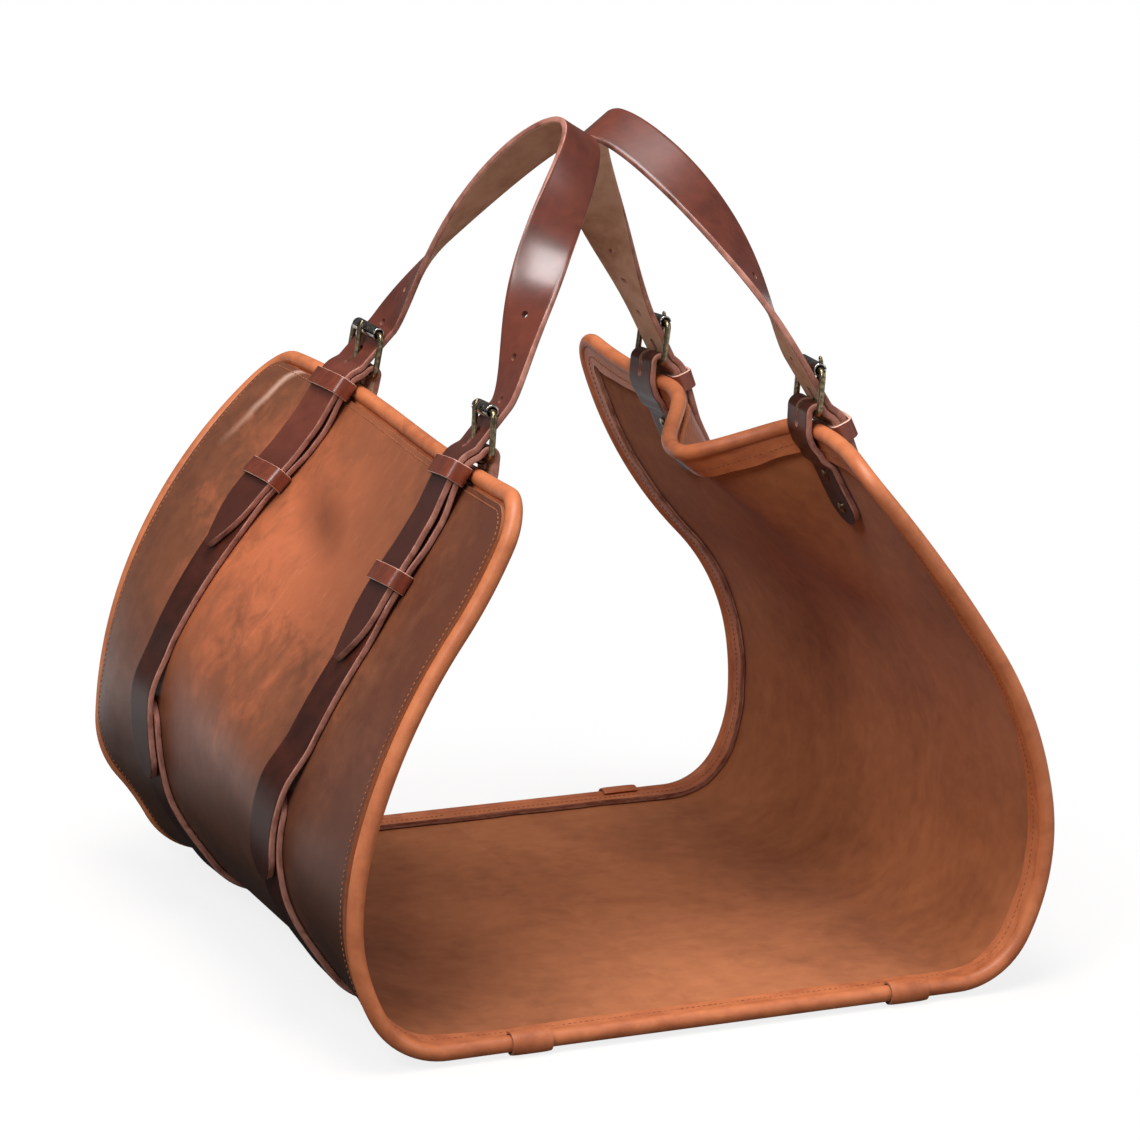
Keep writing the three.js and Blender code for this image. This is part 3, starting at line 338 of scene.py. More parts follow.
# Waxed pull-up: broad clouds of light and dark wax, smaller mottles, and fine scuffs across them.
mottle_group, ends_in, ends_out = new_group(
    "waxed_mottling",
    [("Vector", "NodeSocketVector", None), ("Base", "NodeSocketColor", (0.2, 0.1, 0.05, 1)),
     ("Light", "NodeSocketColor", (0.4, 0.2, 0.1, 1)), ("Dark", "NodeSocketColor", (0.05, 0.02, 0.01, 1)),
     ("Broad", "NodeSocketFloat", 9.0), ("Strength", "NodeSocketFloat", 1.0)],
    [("Color", "NodeSocketColor"), ("Wax", "NodeSocketFloat")],
)
vector, strength = ends_in.outputs["Vector"], ends_in.outputs["Strength"]
broad = ranged(noise(vector, ends_in.outputs["Broad"], 5.0, 0.6, 0.6), 0.38, 0.66)
small = ranged(noise(vector, 75.0, 6.0, 0.62, 0.3), 0.35, 0.7)
scuffs = wire(mottle_group, "ShaderNodeMapping", Vector=vector, Rotation=(0, 0, 0.5), Scale=(30, 260, 30))
scuffs = ranged(noise(scuffs.outputs[0], 1.0, 4.0, 0.7, 0.5), 0.56, 0.72)
light_share = product(broad, mathed("ADD", product(small, 0.75), 0.25))
light_share = mathed("ADD", light_share, product(scuffs, 0.22), True)
dark_share = product(mathed("SUBTRACT", 1.0, broad), mathed("SUBTRACT", 1.0, small))
dark_share = mathed("MULTIPLY", dark_share, strength, True)
color = blended(dark_share, ends_in.outputs["Base"], ends_in.outputs["Dark"])
color = blended(mathed("MULTIPLY", light_share, strength, True), color, ends_in.outputs["Light"])
mottle_group.links.new(color, ends_out.inputs["Color"])
mottle_group.links.new(light_share, ends_out.inputs["Wax"])


def leather(name, base, light, dark, strength=1.0, broad=9.0, rough=(0.42, 0.6), cells=700.0,
            creases=0.5, bump=0.12, gloss=0.25, coat=0.0, sheen=0.0):
    """A tanned leather on a piece's own leather map: mottled wax for colour and gloss, grain for its skin."""
    material = bpy.data.materials.new(name)
    material.use_nodes = True
    tree = material.node_tree
    shader = tree.nodes["Principled BSDF"]
    place = wire(tree, "ShaderNodeUVMap", {"uv_map": "leather"}).outputs[0]
    mottle = wire(tree, "ShaderNodeGroup", {"node_tree": mottle_group}, Vector=place, Base=linear(*base),
                  Light=linear(*light), Dark=linear(*dark), Broad=broad, Strength=strength)
    skin = wire(tree, "ShaderNodeGroup", {"node_tree": grain_group}, Vector=place, Cells=cells,
                Creases=creases)
    tree.links.new(mottle.outputs["Color"], shader.inputs["Base Color"])
    tree.links.new(ranged(mottle.outputs["Wax"], 0.0, 1.0, rough[1], rough[0]), shader.inputs["Roughness"])
    bumps = wire(tree, "ShaderNodeBump", Strength=1.0, Distance=bump * 0.001, Height=skin.outputs["Height"])
    tree.links.new(bumps.outputs[0], shader.inputs["Normal"])
    shader.inputs["Specular IOR Level"].default_value = gloss
    shader.inputs["Coat Weight"].default_value = coat
    shader.inputs["Coat Roughness"].default_value = 0.22
    shader.inputs["Sheen Weight"].default_value = sheen
    shader.inputs["Sheen Roughness"].default_value = 0.5
    return material


hide_grain = leather("hide_grain", (112, 66, 44), (144, 85, 56), (84, 46, 31), strength=0.6, broad=7.0,
                     rough=(0.34, 0.44), cells=620, creases=0.35, bump=0.07, gloss=0.5)
# The hide is brightest half way up between the straps, and darker along its front edge and high up. Low down
# it is painted darkest: painted shade where the underside gets little light.
tree = hide_grain.node_tree
place = wire(tree, "ShaderNodeUVMap", {"uv_map": "leather"}).outputs[0]
u, v, _ = wire(tree, "ShaderNodeSeparateXYZ", i0=place).outputs
wisps = [product(mathed("SUBTRACT", noise(place, scale, 6.0, 0.62, twist), 0.5), share)
         for scale, twist, share in ((14.0, 0.9, 0.20), (45.0, 1.6, 0.09))]
cloud = mathed("ADD", *wisps)
rise, depth = mathed("ADD", u, cloud), mathed("ADD", v, cloud)
between = product(ranged(depth, 0.09, 0.25), ranged(depth, 0.385, 0.30))
# The bright middle rises and falls with the height up the panel.
worn = product(ranged(rise, 0.35, 0.41), ranged(rise, 0.53, 0.43))
bright = product(mathed("ADD", product(worn, 0.68), 0.32), between)
painted_low_shade = ranged(mathed("ADD", u, product(cloud, 0.22)), 0.36, 0.275)
# Fibrous scuffs cross the bright part.
streaks = wire(tree, "ShaderNodeMapping", Vector=place, Rotation=(0, 0, 0.7), Scale=(22, 150, 22)).outputs[0]
streaks = ranged(noise(streaks, 1.0, 6.0, 0.72, 1.8), 0.56, 0.74)
# On the left panel a thin pale line beside the back edge near the top is a painted highlight, and the dent is
# darkened with painted shade.
line = mathed("SUBTRACT", mathed("ADD", v, product(u, 0.21)), mathed("ADD", product(cloud, 0.06), 0.5155))
line = product(ranged(mathed("ABSOLUTE", line), 0.0055, 0.0005), ranged(u, 0.475, 0.53),
               ranged(u, 0.572, 0.555))
painted_dent_shade = wire(tree, "ShaderNodeMapping", {"vector_type": "TEXTURE"}, Vector=place,
              Location=(0.474, 0.256, 0), Rotation=(0, 0, 1.30), Scale=(0.060, 0.024, 1)).outputs[0]
painted_dent_shade = wire(tree, "ShaderNodeVectorMath", {"operation": "LENGTH"}, i0=painted_dent_shade).outputs[1]
x, _, _ = wire(tree, "ShaderNodeSeparateXYZ", i0=wire(tree, "ShaderNodeTexCoord").outputs["Object"]).outputs
on_left = ranged(x, 0.0, -0.01)
shader = tree.nodes["Principled BSDF"]
color = shader.inputs["Base Color"].links[0].from_socket
for share, paint in (
    (product(bright, 0.9), (186, 102, 65)),
    (product(ranged(depth, 0.10, 0.03), 0.7), (86, 43, 29)),
    # painted shade low down on the panels
    (product(painted_low_shade, 0.75), (66, 40, 29)),
    (product(streaks, bright, 0.4), (220, 146, 106)),
    # painted highlight beside the back edge of the left panel
    (product(line, on_left, 0.5), (232, 190, 168)),
    # painted shade in the dent of the left panel
    (product(ranged(painted_dent_shade, 1.0, 0.1), on_left, 0.6), (88, 48, 32)),
):
    color = blended(share, color, linear(*paint))
tree.links.new(color, shader.inputs["Base Color"])
hide_suede = leather("hide_suede", (160, 95, 58), (182, 112, 70), (132, 76, 46), strength=0.7, broad=9.0,
                     rough=(0.85, 0.95), cells=1500, creases=0.15, bump=0.25, gloss=0.12, sheen=0.08)
raw_edge = leather("raw_edge", (160, 108, 92), (190, 142, 122), (118, 72, 58), broad=60.0, rough=(0.7, 0.85),
                   cells=1600, creases=0.2, bump=0.15, gloss=0.15)

# The straight part of each half's depth, the radius of its top corners inside the piping, and its rows and
# columns.
straight_half = hide_depth / 2 - corner_radius
corner_inner = corner_radius - hide_edge
straight_rows, corner_rows, columns = 128, 8, 113
# Where each fold's bend starts and ends, as (X, Z) in millimetres.
fold_bend = ((150.0, 6.0), (212.0, 42.0))
for side, panel in panels.items():
    # Rows run up the panel; near the top each is drawn in to follow the rounded corners.
    turns = np.linspace(0, np.pi / 2, corner_rows + 1)[1:]
    half = straight_half + corner_inner * np.append(np.ones(straight_rows), np.cos(turns))
    y = half[:, None] * np.linspace(-1, 1, columns)
    along = panel_length(panel, y)
    along[:straight_rows] -= corner_radius
    along[:straight_rows] *= np.linspace(0, 1, straight_rows)[:, None]
    along[straight_rows:] -= corner_radius - corner_inner * np.sin(turns)[:, None]
    point, _, _, out = hide_frame(panel, along, y)
    point[0, :, 0] = 0
    grain_face, suede_face = point + out * hide_thickness / 2, point - out * hide_thickness / 2
    rings = np.concatenate([grain_face, suede_face[:, ::-1]], 1)
    hide = swept(f"hide_{side}_half", rings, [hide_grain, hide_suede], np.repeat([0, 1], columns))
    panel["fold"] = [tuple(in_frame(np.array([panel["sign"] * x, 0, z]))) for x, z in fold_bend]
    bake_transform(hide)
    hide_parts("hide_bottom", f"hide_{side}")

# ---------------------------------------------------------------------------------------------
# The piping. A thin tan strip is folded round a rope and both its raw edges are sewn down as a
# flange on the suede side, so the hide's edge is held between the rope and the stitches. It runs
# right round the hide.
# ---------------------------------------------------------------------------------------------
rope_rise = 2.5
rope_radius, strand_groove, strand_lay = 3.15, 0.45, 26.0
pipe_bore = 3.5
binding_thickness = 1.5
pipe_radius = pipe_bore + binding_thickness
flange_width = 17.0
flange_slack = 0.9
stitch_line, thread_rise = 10.5, 0.1
# Pieces that lie on each other are drawn this far apart, so that neither cuts the other.
seat = 0.3
strip_middle = pipe_bore + binding_thickness / 2
flange_near = hide_thickness / 2 + flange_slack + binding_thickness / 2 - rope_rise
flange_far = flange_near + binding_thickness + seat
flange_top = hide_thickness / 2 + flange_slack + seat + 2 * binding_thickness

binding_leather = leather("binding_leather", (184, 104, 64), (206, 124, 80), (156, 84, 52), broad=14.0,
                          rough=(0.34, 0.46), cells=900, creases=0.3, bump=0.06, gloss=0.4)
thread = leather("waxed_thread", (150, 90, 58), (176, 110, 74), (116, 68, 46), broad=90.0,
                 rough=(0.5, 0.7), bump=0.05)
rope_fibre = leather("rope_fibre", (196, 172, 128), (214, 194, 156), (150, 126, 90), broad=90.0,
                     rough=(0.85, 0.95), bump=0.2)


def edge_route(panel, spacing=4.0, count=129):
    """Places right round one half of the hide's edge as (along, depth, turn): turn is the angle in the
    panel's own plane from pointing across it, 0 up the front edge, 90 degrees on top, 180 down the back."""
    edge = hide_depth / 2
    rise = np.linspace(0, 1, count + 1)[:-1]
    turns = np.linspace(0, np.pi / 2, 13)
    bend = straight_half + corner_radius * np.cos(turns)
    short = corner_radius * (1 - np.sin(turns))
    top = np.linspace(-straight_half, straight_half, int(2 * straight_half / spacing))[1:-1]
    along = [rise * (panel_length(panel, -edge) - corner_radius), panel_length(panel, -bend) - short,
             panel_length(panel, top), (panel_length(panel, bend) - short)[::-1],
             (rise * (panel_length(panel, edge) - corner_radius))[::-1]]
    depth = [np.full(count, -edge), -bend, top, bend[::-1], np.full(count, edge)]
    turn = [np.zeros(count), turns, np.full(len(top), np.pi / 2), np.pi - turns[::-1], np.full(count, np.pi)]
    return np.concatenate(along), np.concatenate(depth), np.concatenate(turn)


def in_from_edge(panel, route, distance):
    """The hide's frame at a distance in from the piping, square to it."""
    along, depth, turn = route
    return hide_frame(panel, along - distance * np.sin(turn), depth + distance * np.cos(turn))


def sampled(places, walked, rows):
    """Rows known at the distances walked, read at other places between them."""
    return np.stack([np.interp(places, walked, column) for column in rows.T], -1)


def stitches(name, panel, route, lift, pitch=3.6, length=2.5, radius=0.38):
    """A row of stitches sewn along the flange: each is a short six-sided bead whose ends dip into the
    leather, lift away from the middle of the hide."""
    point, _, _, out = in_from_edge(panel, route, stitch_line)
    line = point + out * lift
    walked = walk(line)
    middles = np.arange(pitch / 2, walked[-1] - pitch / 2, pitch)
    places = middles[:, None] + np.array([-0.5, -0.38, 0.0, 0.38, 0.5]) * length
    centre = sampled(places, walked, line)
    normal = sampled(places, walked, out) * np.sign(lift)
    way = unit(centre[:, -1:] - centre[:, :1])
    side = unit(np.cross(normal, way))
    size = radius * np.array([0.35, 0.85, 1.0, 0.85, 0.35])
    dip = radius * np.array([-1.3, -0.2, 0.1, -0.2, -1.3])
    angle = (np.arange(6) + 0.5) * np.pi / 3
    centre = centre + normal * dip[:, None]
    rings = (centre[:, :, None] + side[:, :, None] * (size[:, None] * np.cos(angle))[..., None]
             + normal[:, :, None] * (size[:, None] * np.sin(angle))[..., None])
    i, j = np.meshgrid(np.arange(4), np.arange(6), indexing="ij")
    row, next_j = i * 6, (j + 1) % 6
    skin = np.stack([row + 6 + j, row + 6 + next_j, row + next_j, row + j], -1).reshape(-1, 4)
    caps = np.array([[0, 1, 2, 3], [0, 3, 4, 5], [27, 26, 25, 24], [29, 28, 27, 24]])
    faces = np.concatenate([skin, caps])
    u = np.repeat(middles, faces.size)
    faces = (faces + 30 * np.arange(len(middles))[:, None, None]).reshape(-1, 4)
    if panel["sign"] * lift < 0:
        faces = faces[:, ::-1]
    return make_mesh(name, rings.reshape(-1, 3), [faces], [thread], np.stack([u, 0 * u], -1))


for side, panel in panels.items():
    route = edge_route(panel)
    along, depth, turn = route
    point, up, across, out = hide_frame(panel, along, depth)
    first = across * np.cos(turn)[:, None] - up * np.sin(turn)[:, None]
    centre = point - out * rope_rise
    walked = walk(centre)
    # The strip's raw edge was cut by eye, so the flange is a little wider here and narrower there.
    cut = 0.8 * np.sin(walked / 31) + 0.5 * np.sin(walked / 11.3 + 1) + 0.35 * np.sin(walked / 5.1)
    cut = cut * ease(walked, 0, 40) * ease(walked[-1] - walked, 0, 40)
    edge_point, _, _, edge_out = in_from_edge(panel, route, flange_width + cut)
    # The strip's middle line: from its first raw edge to the rope, round it and back over itself.
    angle = np.linspace(np.arcsin(flange_near / strip_middle),
                        np.arcsin(flange_far / strip_middle) - 2 * np.pi, 30)
    arc = np.stack([np.cos(angle), np.sin(angle)], -1) * strip_middle
    steps = np.linspace(0, 1, 5)[:, None]
    near = np.array([flange_width, flange_near]) * (1 - steps[:-1]) + arc[0] * steps[:-1]
    far = arc[-1] * (1 - steps[1:]) + np.array([flange_width, flange_far]) * steps[1:]
    line = np.concatenate([near, arc, far])
    way = unit(np.gradient(line, axis=0))
    normal = np.stack([-way[:, 1], way[:, 0]], -1) * binding_thickness / 2
    outline = np.concatenate([line + normal, (line - normal)[::-1]])
    sides = np.zeros(len(outline), int)
    sides[len(line) - 1] = sides[-1] = 1
    # The outline is square to the rope, and past it goes over to being square to the raw edge.
    inward = np.clip((outline[:, :1] - arc[0, 0]) / (flange_width - arc[0, 0]), 0, 1)
    reach = np.minimum(outline[:, :1], arc[0, 0])
    by_rope = centre[:, None] + first[:, None] * reach - out[:, None] * outline[:, 1:]
    by_edge = edge_point[:, None] - edge_out[:, None] * (rope_rise + outline[:, 1:])
    rings = by_rope * (1 - inward) + by_edge * inward
    binding = swept(f"binding_{side}_half", rings, [binding_leather, raw_edge], sides)
    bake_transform(binding)
    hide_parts(f"binding_{side}", "binding_bottom_front", "binding_bottom_back")
    # The rope inside it: three strands laid round each other.
    angle = (np.arange(18) + 0.5) * np.pi / 9
    lay = walked[:, None] / strand_lay * 2 * np.pi
    radius = rope_radius - strand_groove * np.abs(np.sin(1.5 * (angle - lay)))
    ray = np.cos(angle)[:, None] * first[:, None] - np.sin(angle)[:, None] * out[:, None]
    rope = swept(f"rope_{side}_half", centre[:, None] + radius[..., None] * ray, [rope_fibre])
    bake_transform(rope)
    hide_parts(f"rope_{side}", "rope_bottom_front", "rope_bottom_back")
    for place, face in (("inside", -flange_top), ("outside", hide_thickness / 2)):
        row = stitches(f"stitches_{place}_{side}", panel, route, face + np.sign(face) * thread_rise)
        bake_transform(row)

# ---------------------------------------------------------------------------------------------
# The sleeves. Short pieces of the same tan leather are wrapped round the piping of the bottom,
# over the places where its ends meet, and tucked in under the flange.
# ---------------------------------------------------------------------------------------------
sleeve_length, sleeve_thickness, sleeve_slack, sleeve_rounding = 25.0, 1.6, 0.7, 0.35
sleeve_bore = pipe_radius + sleeve_slack
angle = np.radians(np.linspace(-52, -318, 29))
stations = np.linspace(-1, 1, 13)
# The outer face is rounded down a little towards both ends.
outer = sleeve_bore + sleeve_thickness - sleeve_rounding * stations ** 6
for side, panel in panels.items():
    for end, edge, turn in (("front", -hide_depth / 2, 0.0), ("back", hide_depth / 2, np.pi)):
        point, up, across, out = hide_frame(panel, panel["sleeve"] + stations * sleeve_length / 2, edge)
        first = across * np.cos(turn) - up * np.sin(turn)
        centre = point - out * rope_rise
        ray = first[:, None] * np.cos(angle)[:, None] - out[:, None] * np.sin(angle)[:, None]
        rings = np.concatenate([ray * outer[:, None, None], (ray * sleeve_bore)[:, ::-1]], 1)
        sleeve = swept(f"sleeve_{side}_{end}_wrap", centre[:, None] + rings, [binding_leather, raw_edge])
        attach(sleeve, "base")
        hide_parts(f"sleeve_{side}_{end}")

# ---------------------------------------------------------------------------------------------
# The girth straps. Two dark red-brown bridle straps, 32 mm wide, run under the hide and up the
# outside of both panels, to rounded ends under the laps of the side straps.
# ---------------------------------------------------------------------------------------------
strap_width, strap_thickness = 32.0, 4.2
half_strap, half_stock = strap_width / 2, strap_thickness / 2
strap_ends = (("front", -strap_middle), ("back", strap_middle))
girth_offset = hide_thickness / 2 + seat + half_stock
lap_start, lap_end = 90.0, 142.0
level_drop = 100.0
# Distances from a strap's rounded end at which its outline is drawn.
end_steps = np.array([0.0, 0.3, 1.0, 2.2, 4.0, 6.5, 9.5, 12.5])

bridle_grain = leather("bridle_grain", (60, 28, 20), (80, 39, 29), (44, 21, 16), broad=10.0,
                       rough=(0.26, 0.36), cells=1100, creases=0.25, bump=0.03, gloss=0.22)
# handle_grain is the straps' bridle leather painted lighter and redder: painted light on the handles, which
# catch more light than the straps.
handle_grain = leather("handle_grain", (92, 43, 32), (112, 56, 42), (72, 34, 25), broad=8.0,
                       rough=(0.26, 0.34), cells=1100, creases=0.25, bump=0.02, gloss=0.5, coat=0.4)
# The handles' tails down the panels are darkened with painted shade, and their coat is taken off there: u is
# measured from one tapered end.
tree = handle_grain.node_tree
shader = tree.nodes["Principled BSDF"]
place = wire(tree, "ShaderNodeUVMap", {"uv_map": "leather"}).outputs[0]
from_middle = mathed("SUBTRACT", wire(tree, "ShaderNodeSeparateXYZ", i0=place).outputs[0], 0.425)
painted_tail_shade = product(ranged(mathed("ABSOLUTE", from_middle), 0.255, 0.30), 0.65)
color = blended(painted_tail_shade, shader.inputs["Base Color"].links[0].from_socket, linear(52, 24, 17))
tree.links.new(color, shader.inputs["Base Color"])
tree.links.new(product(mathed("SUBTRACT", 1.0, painted_tail_shade), 0.4), shader.inputs["Coat Weight"])
bridle_flesh = leather("bridle_flesh", (200, 156, 128), (216, 174, 148), (166, 122, 96), broad=22.0,
                       rough=(0.6, 0.78), cells=1500, creases=0.2, bump=0.15, gloss=0.2)
bridle_edge = leather("bridle_edge", (150, 98, 84), (180, 128, 112), (108, 64, 54), broad=60.0,
                      rough=(0.5, 0.7), cells=1600, creases=0.2, bump=0.12, gloss=0.25)
strap_finishes = [bridle_grain, bridle_flesh, bridle_edge]


def strap_outline(width, thickness, bevel):
    """A rectangle with corners rounded by quarter circles: the grain face from one edge to the other,
    then the flesh face back, with the finish of each of its sides."""
    turn = np.radians(np.array([0, 30, 60, 90]))
    corner = np.stack([1 - np.cos(turn), np.sin(turn)], -1) * bevel
    rim = corner + [-width / 2, thickness / 2 - bevel]
    face = np.array([-0.84, -0.78, -0.4, 0, 0.4, 0.78, 0.84])[:, None] * [width / 2, 0] + [0, thickness / 2]
    grain = np.concatenate([rim, face, (rim * [-1, 1])[::-1]])
    outline = np.concatenate([grain, (grain * [1, -1])[::-1]])
    count = len(grain)
    sides = np.repeat([0, 1], count)
    sides[[0, 1, count - 3, count - 2, count - 1, count, count + 1, -3, -2, -1]] = 2
    return outline, sides


outline, outline_sides = strap_outline(strap_width, strap_thickness, 1.1)


def strap_rings(centre, half, lift):
    """Rings of a strap: at each station the outline is laid out on the half width and the thickness."""
    return centre[:, None] + half[:, None] * (outline[:, :1] / half_strap) + lift[:, None] * outline[:, 1:]


def round_share(distance):
    """How much of a strap's width is there at a distance from its rounded end: a quarter circle."""
    back = np.clip(distance / half_strap, 0, 1)
    return np.sqrt(np.maximum(1 - (1 - back) ** 2, 0.0004))


def on_panel(panel, middle, along, offset, share):
    """Centre, half width and outward direction of a strap that lies on the panel: the middle of its two
    edges, each set off from the hide. High up, both edges are the same distance below the top edge."""
    rise = ease(along, fold_along, panel_length(panel, middle) - level_drop)
    edges, outs = [], []
    for sign in (-1, 1):
        y = np.full_like(along, middle + sign * half_strap)
        own = along + rise * (panel_length(panel, y) - panel_length(panel, middle))
        point, _, _, out = hide_frame(panel, own, y)
        edges.append(point + out * np.reshape(offset, (-1, 1)))
        outs.append(out)
    half = (edges[1] - edges[0]) / 2
    out = unit(outs[0] + outs[1])
    out = unit(out - half * (np.sum(out * half, 1) / np.sum(half * half, 1))[:, None])
    return (edges[0] + edges[1]) / 2, half * share[:, None], out


for side, panel in panels.items():
    for end, middle in strap_ends:
        top = fold_along + lap_end
        along = np.concatenate([np.linspace(0, top - half_strap, 90), (top - end_steps)[::-1]])
        centre, half, out = on_panel(panel, middle, along, girth_offset, round_share(top - along))
        centre[0, 0] = 0
        girth = swept(f"girth_{side}_{end}", strap_rings(centre, half, out), strap_finishes, outline_sides)
        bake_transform(girth)
        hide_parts(f"girth_strap_{end}", f"girth_end_{side}_{end}")

# ---------------------------------------------------------------------------------------------
# The side straps. Each is sewn over the end of its girth strap, runs up the panel, loops through
# its buckle over the top edge and is riveted down inside. A slot in the loop lets the prong turn.
# ---------------------------------------------------------------------------------------------
keeper_width, keeper_thickness, keeper_slack = 12.0, 2.0, 0.8
keeper_drops = {"upper": 5.0, "lower": 77.5}
# Both are measured over the solids' full piping, because they place the buckles on their joints;
# the piping drawn here is 0.7 mm thinner.
side_offset, over_pipe = 8.9, 10.6
lap_offset = girth_offset + strap_thickness + 2 * seat
inner_offset = clamped_offset = girth_offset + seat
keeper_offset = hide_thickness / 2 + keeper_thickness + half_stock + 2 * seat
over_flange = flange_top + seat + half_stock
# Drops over which the strap comes down to the hide, rises for its lower keeper and comes down again.
clamp_span, keeper_rise, keeper_fall = (4, 36), (48, 70), (86, 122)
clamp_full, inner_leg_drop = 24.0, 67.0
wire_radius, eye_wire = 2.3, 1.9
bar_rise, strap_lean, loop_stop, bend_pull = 13.0, np.radians(8.0), np.radians(157), 5.0
slot_rise, slot_radius, slot_reach = 3.4, 2.6, 15.5
bar = np.array([(side_offset - over_pipe) / 2, bar_rise])
loop_radius = wire_radius + seat + half_stock


def strap_offset(panel, middle, along):
    """How far the side strap's middle stands off the hide's: by a keeper's thickness under its two
    keepers, down on the hide where it is riveted and below them, and out over the lap at its end."""
    drop = panel_length(panel, middle) - along
    free = side_offset + (clamped_offset - side_offset) * ease(drop, *clamp_span)
    raised = ease(drop, *keeper_rise) * (1 - ease(drop, *keeper_fall))
    free = free + (keeper_offset - clamped_offset) * raised
    past = ease(along, fold_along + lap_end, fold_along + lap_end + strap_width)
    return lap_offset + (free - lap_offset) * past


def bezier(a, b, c, d, count):
    """Points of the cubic curve that leaves a towards b and reaches d from c, and its directions."""
    t = np.linspace(0, 1, count)[:, None]
    point = (1 - t) ** 3 * a + 3 * (1 - t) ** 2 * t * b + 3 * (1 - t) * t ** 2 * c + t ** 3 * d
    way = (1 - t) ** 2 * (b - a) + 2 * (1 - t) * t * (c - b) + t ** 2 * (d - c)
    return point, unit(way)


def spot_frame(panel, along, middle):
    """The hide's frame at one spot."""
    return [row[0] for row in hide_frame(panel, np.array([along]), np.array([middle]))]


def cut_away(piece, cutters):
    """Cuts closed tool meshes out of a piece and removes the tools."""
    for k, tool in enumerate(cutters):
        modifier = piece.modifiers.new(f"cut_{k}", "BOOLEAN")
        modifier.object, modifier.operation, modifier.solver = tool, "DIFFERENCE", "EXACT"
        modifier.material_mode = "TRANSFER"
    ready = piece.evaluated_get(bpy.context.evaluated_depsgraph_get())
    mesh = bpy.data.meshes.new_from_object(ready)
    piece.modifiers.clear()
    piece.data = mesh
    for tool in cutters:
        bpy.data.objects.remove(tool)
    mesh.set_sharp_from_angle(angle=np.radians(50))


def punch(centre, way, across, length, radius, slot):
    """A closed tool that points along way: a slot square to across, whose round ends are drawn about
    centres slot apart, or a round punch where slot is 0."""
    angle = (np.arange(24) + 0.5) * np.pi / 12
    spread = np.stack([np.cos(angle), np.sin(angle)], -1) * radius
    spread[:, 1] += np.sign(spread[:, 1]) * slot / 2
    ring = centre + across * spread[:, :1] + unit(np.cross(way, across)) * spread[:, 1:]
    return swept("tool", np.stack([ring - way * length / 2, ring + way * length / 2]), [bridle_edge])


# Over the top edge a strap's line is drawn as (offset from the hide, rise above the piping).
angle = np.linspace(strap_lean, loop_stop, 26)
ring = bar + np.stack([np.cos(angle), np.sin(angle)], -1) * loop_radius
ring_way = np.stack([-np.sin(angle), np.cos(angle)], -1)
pull, straight_up = bend_pull * ring_way, np.array([0, bend_pull])
foot = np.array([side_offset, keeper_width / 2 - keeper_drops["upper"] + seat])
outer_bend, outer_way = bezier(foot, foot + straight_up, ring[0] - pull[0], ring[0], 10)
foot = np.array([-over_pipe, 0.0])
inner_bend, inner_way = bezier(ring[-1], ring[-1] + pull[-1], foot + straight_up, foot, 10)
loop_line = np.concatenate([outer_bend[:-1], ring, inner_bend[1:]])
loop_way = np.concatenate([outer_way[:-1], ring_way, inner_way[1:]])
# The inner leg lies over the piping and the flange, and then on the suede: (drop, offset).
knots = [[0, over_pipe], [6, over_pipe - 0.1], [12, over_flange + 0.3], [17.5, over_flange],
         [clamp_full, inner_offset], [inner_leg_drop, inner_offset]]
fall = np.append(np.linspace(1.5, inner_leg_drop - half_strap, 34), (inner_leg_drop - end_steps)[::-1])
inside_offset = np.pad(np.interp(fall, *np.transpose(knots)), 1, mode="edge")
inside_offset = np.convolve(inside_offset, [0.25, 0.5, 0.25], "valid")

for side, panel in panels.items():
    for end, middle in strap_ends:
        total = panel_length(panel, middle)
        point, up, _, out = spot_frame(panel, total, middle)
        across = unit(np.cross(up, out)) * panel["sign"]
        panel[end] = {"total": total, "frame": (point, up, across, out)}
        low_end = fold_along + lap_start
        along = np.append(low_end + end_steps, np.linspace(low_end + half_strap, total, 96))
        offset = strap_offset(panel, middle, along)
        outside = on_panel(panel, middle, along, offset, round_share(along - low_end))
        above = point + loop_line[:, :1] * out + loop_line[:, 1:] * up
        above_lift = loop_way[:, 1:] * out - loop_way[:, :1] * up
        inside = on_panel(panel, middle, total - fall, -inside_offset, round_share(inner_leg_drop - fall))
        rings = strap_rings(
            np.concatenate([outside[0], above, inside[0]]),
            np.concatenate([outside[1], np.broadcast_to(across * half_strap, above.shape), inside[1]]),
            np.concatenate([outside[2], above_lift, -inside[2]]))
        strap = swept(f"side_strap_{side}_{end}_run", rings, strap_finishes, outline_sides)
        loop_top = point + bar[0] * out + (bar_rise + slot_rise) * up
        cut_away(strap, [punch(loop_top, out, across, 40.0, slot_radius, slot_reach)])
        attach(strap, f"side_{side}")
        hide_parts(f"side_strap_{side}_{end}")

# ---------------------------------------------------------------------------------------------
# The rivets. Two copper rivets, gone dark, go through each side strap's legs and the hide: a
# domed head outside, and a burr with the peened shank inside.
# ---------------------------------------------------------------------------------------------
rivet_drops = {"upper": 30.0, "lower": 54.0}
burr, head = -(inner_offset + half_stock + seat), girth_offset + half_stock + seat
# Radius and height of the rivet's profile, from its peened end to the top of its head.
profile = np.array([
    [0.1, burr - 1.4], [0.9, burr - 1.35], [1.5, burr - 1.0], [1.8, burr - 0.7], [3.4, burr - 0.65],
    [3.8, burr - 0.4], [3.8, burr], [1.8, burr], [1.8, head], [4.4, head], [4.5, head + 0.2],
    [3.9, head + 0.7], [2.6, head + 1.05], [1.2, head + 1.2], [0.1, head + 1.25],
])


